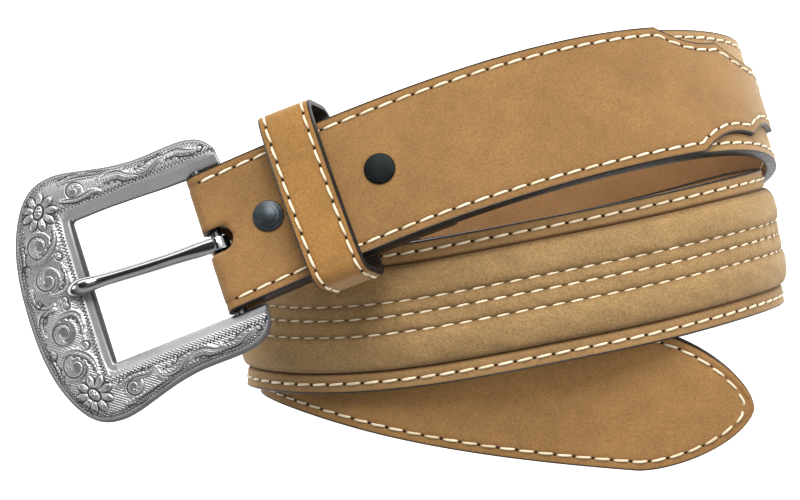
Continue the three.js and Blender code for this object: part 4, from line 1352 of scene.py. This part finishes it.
# Stitches
THREAD_HALF = 0.37
THREAD_FLAT = 0.9
THREAD_RISE = 0.30
THREAD_SINK = 0.14
KEEPER_THREAD_SINK = 0.18
STITCH_SLANT = 0.14
HOLE_GAP = 0.6
HOLE_SINK = 0.13
HOLE_LEVELS = np.array([-0.25, 0.08, 0.12])
HOLE_HALVES = np.array([0.5, 0.5, 0.16])
# Places along one stitch, the height of its arch there and the share of its thickness
STITCH_AT = np.linspace(-1, 1, 7)
STITCH_ARCH = np.sqrt(np.clip(1 - np.abs(STITCH_AT) ** 2.6, 0, 1))
STITCH_SWELL = 0.35 + 0.65 * STITCH_ARCH


def along_path(path, pitch):
    """Points about a pitch apart along a path in (s, across), and the path between each two."""
    path = np.asarray(path, float)
    run = run_along(path)
    count = max(1, int(round(run[-1] / pitch)))
    holes = np.linspace(0, run[-1], count + 1)
    trim = HOLE_GAP / 2 * run[-1] / count / pitch
    first, last = holes[:-1, None] + trim, holes[1:, None] - trim
    return at_run(holes, run, path), at_run(first + (last - first) * (STITCH_AT + 1) / 2, run, path)


def tubes(name, centre, side, out, half_side, half_out, material, sides=6):
    """Many closed tubes at once, from their middle lines (tubes, rings, 3)."""
    count, rings = centre.shape[:2]
    turns = full_turn(sides)
    wide = side[:, :, None] * (half_side * np.cos(turns))[..., None]
    deep = out[:, :, None] * (half_out * np.sin(turns))[..., None]
    points = (centre[:, :, None] + wide + deep).reshape(-1, 3)
    faces = []
    for k in range(count):
        faces += ring_faces(rings, sides, first=k * rings * sides)
    return new_object(name, points, faces, [material], sharp=None)


def threads(name, middle, side, way):
    """Threads along their middle lines, thinner where they go into the leather."""
    half = THREAD_HALF * STITCH_SWELL[None, :, None]
    return tubes(name, middle, side, unit(np.cross(way, side)), half, THREAD_FLAT * half, THREAD)


def needle_holes(name, base, out, along, across):
    """Dark plugs that paint the shade in needle holes, whose mouths lie in the plane of along and across."""
    middle = base[:, None] + out[:, None] * HOLE_LEVELS[None, :, None]
    along, across = (np.broadcast_to(way[..., None, :], middle.shape) for way in (along, across))
    half = np.broadcast_to(HOLE_HALVES[None, :, None], (len(base), 3, 1))
    return tubes(name + "_holes", middle, along, across, half * 0.9, half * 0.85, HOLE_SHADE, sides=8)


def stitch_row(name, paths, height, pitch, slot, flip=1, sunk=HOLE_SINK):
    """Threads and needle holes along paths in (s, across), on a face of a height or a function for it."""
    def face(place):
        s, across = place[..., 0], place[..., 1]
        return height(s, across) if callable(height) else np.full(s.shape, height)

    spots, lines = (np.concatenate(part) for part in zip(*(along_path(path, pitch) for path in paths)))
    lift = flip * (THREAD_RISE * (2 * STITCH_ARCH - 1) - THREAD_SINK)
    middle = strap_point(lines[..., 0], lines[..., 1], face(lines) + lift)
    way = unit(np.gradient(middle, axis=1))
    side = unit(np.cross(strap_frame(lines[..., 0])[3], way))
    middle = middle + side * (STITCH_AT * STITCH_SLANT * flip)[None, :, None]
    _, along, across, out = strap_frame(spots[:, 0])
    base = strap_point(spots[:, 0], spots[:, 1], face(spots) - flip * sunk)
    pieces = [threads(name, middle, side, way), needle_holes(name, base, out * flip, along, across * flip)]
    return dress(joined(name, pieces), "strap", slot)


SIDE_LINE = HALF_WIDTH - STITCH_INSET
TONGUE_INSET = 2.3
TONGUE_JOIN = 3.0
FRONT_START = 3.7
BASE_ROWS = (139.0, 725.0)
LINING_START = 68.0
BACK_LEG_START = 6.5
ROW_END = 2.5
PANEL_ROW_END = 4.0
TIP_ROW_END = 0.3
PANEL_HOLE_RISE = 0.04
KEEPER_FIRST_HOLE = 2.0
KEEPER_HOLE_SINK = 0.2
THREAD_BED = 0.1


def both_edges(start, end):
    return [[(start, side), (end, side)] for side in (SIDE_LINE, -SIDE_LINE)]


def round_both(line):
    """A line on one side of the strap, carried back on the other."""
    return [np.concatenate([line, line[::-1] * (1, -1)])]


def tongue_line(start, way):
    """The stitching line inside a tongue's outline, with its scallops rounded off."""
    past = np.linspace(0, TONGUE_LENGTH, 400)
    half = tongue_half(past)
    inside = []
    for place in past:
        gap = np.sqrt(np.maximum(0, TONGUE_INSET ** 2 - (past - place) ** 2))
        inside.append(np.min((half - gap)[np.abs(past - place) < TONGUE_INSET]))
    line = np.stack([past, inside], -1)
    line = line[line[:, 1] > 0.5]
    line[:, 0] = start + way * line[:, 0]
    return line


def tip_line(start, end):
    """The stitching line inside the tip's outline, from start to end."""
    s = np.linspace(start, end, int((end - start) / 0.5))
    edge = tip_half(s)
    slope = np.gradient(edge, s)
    lean = np.sqrt(1 + slope ** 2)
    line = np.stack([s + STITCH_INSET * slope / lean, edge - STITCH_INSET / lean], -1)
    return line[line[:, 1] > 0.6]


def row_height(s, across):
    wide, narrow = panel_half(s)
    return panel_height(s, across, wide, narrow)


front = [(FRONT_START, SIDE_LINE), (BUCKLE_TONGUE_START - TONGUE_JOIN, SIDE_LINE)]
front = round_both(np.concatenate([front, tongue_line(BUCKLE_TONGUE_START, 1)]))
stitch_row("buckle_billet_stitches", front, BILLET_FACE - THREAD_BED, EDGE_PITCH, "nubuck")

tongue = tongue_line(TIP_TONGUE_START, -1)[::-1]
tip = tip_line(TIP_TONGUE_START + TONGUE_JOIN, STRAP_END - TIP_ROW_END)
tip = round_both(np.concatenate([tongue, tip]))
stitch_row("tip_billet_stitches", tip, BILLET_FACE - THREAD_BED, EDGE_PITCH, "nubuck")

stitch_row("base_stitches", both_edges(*BASE_ROWS), -THREAD_BED, EDGE_PITCH, "nubuck")

s = np.linspace(PANEL_FROM + PANEL_ROW_END, PANEL_TO - PANEL_ROW_END, 300)
rows = [np.stack([s, row * panel_half(s)[0] / PANEL_HALF], -1) for row in STITCH_ROWS]
stitch_row("panel_stitches", rows, row_height, CENTRE_PITCH, "suede", sunk=-PANEL_HOLE_RISE)

lines = both_edges(LINING_START, STRAP_END - TIP_LENGTH)
stitch_row("lining_stitches", lines, LINING_FACE + THREAD_BED, EDGE_PITCH, "lining", flip=-1)


def keeper_stitches():
    """Rows along both long edges of the loop's band, over its front and round to its back."""
    points, ways = keeper_outline()
    outer = points + ways * (KEEPER_THICK + CLEAR)
    outer = np.concatenate([outer, outer[:1]])
    ways = np.concatenate([ways, ways[:1]])
    run = run_along(outer)
    count = int(round(run[-1] / EDGE_PITCH))
    holes = np.linspace(0, run[-1], count + 1)[:-1] + KEEPER_FIRST_HOLE
    stitch = run[-1] / count - HOLE_GAP
    at = (holes[:, None] + HOLE_GAP / 2 + stitch * (STITCH_AT + 1) / 2) % run[-1]
    out = unit(at_run(at, run, ways))
    lift = THREAD_RISE * (2 * STITCH_ARCH - 1) - KEEPER_THREAD_SINK
    spot = at_run(at, run, outer) + out * lift[None, :, None]
    hole = at_run(holes % run[-1], run, outer)
    hole_out = unit(at_run(holes % run[-1], run, ways))
    origin = keeper_place(np.zeros(2), np.zeros(()))
    x_way = keeper_place(np.array([1.0, 0.0]), np.zeros(())) - origin
    y_way = keeper_place(np.array([0.0, 1.0]), np.zeros(())) - origin
    z_way = keeper_place(np.zeros(2), np.ones(())) - origin
    pieces = []
    for edge in (-1, 1):
        lengthwise = edge * (KEEPER_LONG / 2 - KEEPER_STITCH)
        middle = keeper_place(spot, np.full(spot.shape[:2], lengthwise) + STITCH_AT * STITCH_SLANT)
        way = unit(np.gradient(middle, axis=1))
        rise = unit(x_way * out[..., 0:1] + y_way * out[..., 1:2])
        pieces.append(threads("keeper_stitches", middle, unit(np.cross(rise, way)), way))
        rise = unit(x_way * hole_out[:, 0:1] + y_way * hole_out[:, 1:2])
        base = keeper_place(hole - hole_out * KEEPER_HOLE_SINK, np.full(len(hole), lengthwise))
        pieces.append(needle_holes("keeper_stitches", base, rise, unit(np.cross(z_way, rise)), z_way))
    return dress(joined("keeper_stitches", pieces), "strap", "nubuck_gold")


keeper_stitches()

lines = both_edges(BACK_LEG_START, BACK_LEG_END - ROW_END)
lines += [[(BACK_LEG_END - STITCH_INSET, side) for side in (-SIDE_LINE, SIDE_LINE)]]
stitch_row("back_leg_stitches", lines, BACK_LEG_FACE + THREAD_BED, EDGE_PITCH, "nubuck", flip=-1)


# Floor, lights and camera
FLOOR_HALF = 2500.0
FLOOR_Z = -0.15
MIDDLE = Vector((0.0, 0.0, 0.05))
LIGHTS = (
    # name, place in metres, size, power
    ("key", (-0.12, 1.05, 0.95), 0.9, 29),
    ("right", (1.1, 0.1, 0.9), 1.0, 8),
    ("left", (-1.25, 0.15, 0.45), 0.4, 1.5),
    ("strip", (-0.77, 1.0, 0.64), 0.5, 1.5),
)
SKY_STRENGTH = 1.6
# Brightness of the sky by height
SKY = ((0.0, 0.10), (0.3, 0.45), (0.65, 0.85), (0.85, 0.92), (0.94, 0.6), (0.985, 0.12))
# Brightness along the way in which the studio grows lighter, beyond the belt and on its right
SIDE_WAY = (0.42, 0.32, 0.0)
SIDE_SKY = ((0.0, 0.22), (0.6, 0.82), (1.0, 0.86))
# A dark card where the flat metal mirrors, so that only its slopes shine: its axes and their reach
CARD = (
    ((-0.195, 0.846, -0.495), 0.56),
    ((-0.845, -0.434, -0.312), 0.28),
)
CARD_GREY = 0.01
# The camera looks straight down. Place in metres, focal length and sensor in millimetres
CAMERA_PLACE = (-0.0032, -0.0006, 0.8053)
FOCAL_LENGTH = 121.3
SENSOR = 36


def paper():
    nodes = Surface("studio_floor")
    return nodes.finish({
        "Base Color": nodes.ramp(nodes.noise(3, 2), (0.3, 0.90), (0.7, 0.93)),
        "Roughness": 0.9,
        "Emission Color": grey(1),
        "Emission Strength": 0.6,
    })


def floor():
    corners = [(x * FLOOR_HALF, y * FLOOR_HALF, FLOOR_Z) for x, y in ((-1, -1), (1, -1), (1, 1), (-1, 1))]
    return new_object("floor", corners, [(0, 1, 2, 3)], [paper()], sharp=None)


floor()


def area_light(name, place, size, power):
    lamp = bpy.data.lights.new(name, "AREA")
    lamp.shape = "SQUARE"
    lamp.size = size
    lamp.energy = power
    obj = bpy.data.objects.new(name, lamp)
    obj.location = place
    obj.rotation_euler = (MIDDLE - Vector(place)).to_track_quat("-Z", "Y").to_euler()
    bpy.context.scene.collection.objects.link(obj)


for light in LIGHTS:
    area_light(*light)


def studio():
    world = bpy.data.worlds.new("studio")
    world.use_nodes = True
    nodes = Nodes(world.node_tree)
    direction = nodes.add("TexCoord").outputs["Generated"]
    sky = nodes.ramp(nodes.add("SeparateXYZ", {0: direction}).outputs["Z"], *SKY)
    side = nodes.ramp(nodes.math("ADD", nodes.dot(direction, SIDE_WAY), 0.5), *SIDE_SKY)
    offsets = []
    for way, reach in CARD:
        share = nodes.math("DIVIDE", nodes.dot(direction, way), reach)
        offsets.append(nodes.math("MULTIPLY", share, share))
    card = nodes.ramp(nodes.math("ADD", *offsets), (0.5, 0.95), (1.0, 0.0))
    background = world.node_tree.nodes["Background"].inputs
    sky = nodes.mix("MULTIPLY", 1.0, sky, side)
    nodes.feed(background["Color"], nodes.mix("MIX", card, sky, grey(CARD_GREY)))
    background["Strength"].default_value = SKY_STRENGTH
    return world


bpy.context.scene.world = studio()
bpy.context.scene.view_settings.view_transform = "Standard"

lens = bpy.data.cameras.new("camera")
lens.lens = FOCAL_LENGTH
lens.sensor_width = SENSOR
lens.clip_start = 0.05
lens.clip_end = 20
camera = bpy.data.objects.new("camera", lens)
camera.location = CAMERA_PLACE
bpy.context.scene.collection.objects.link(camera)
bpy.context.scene.camera = camera
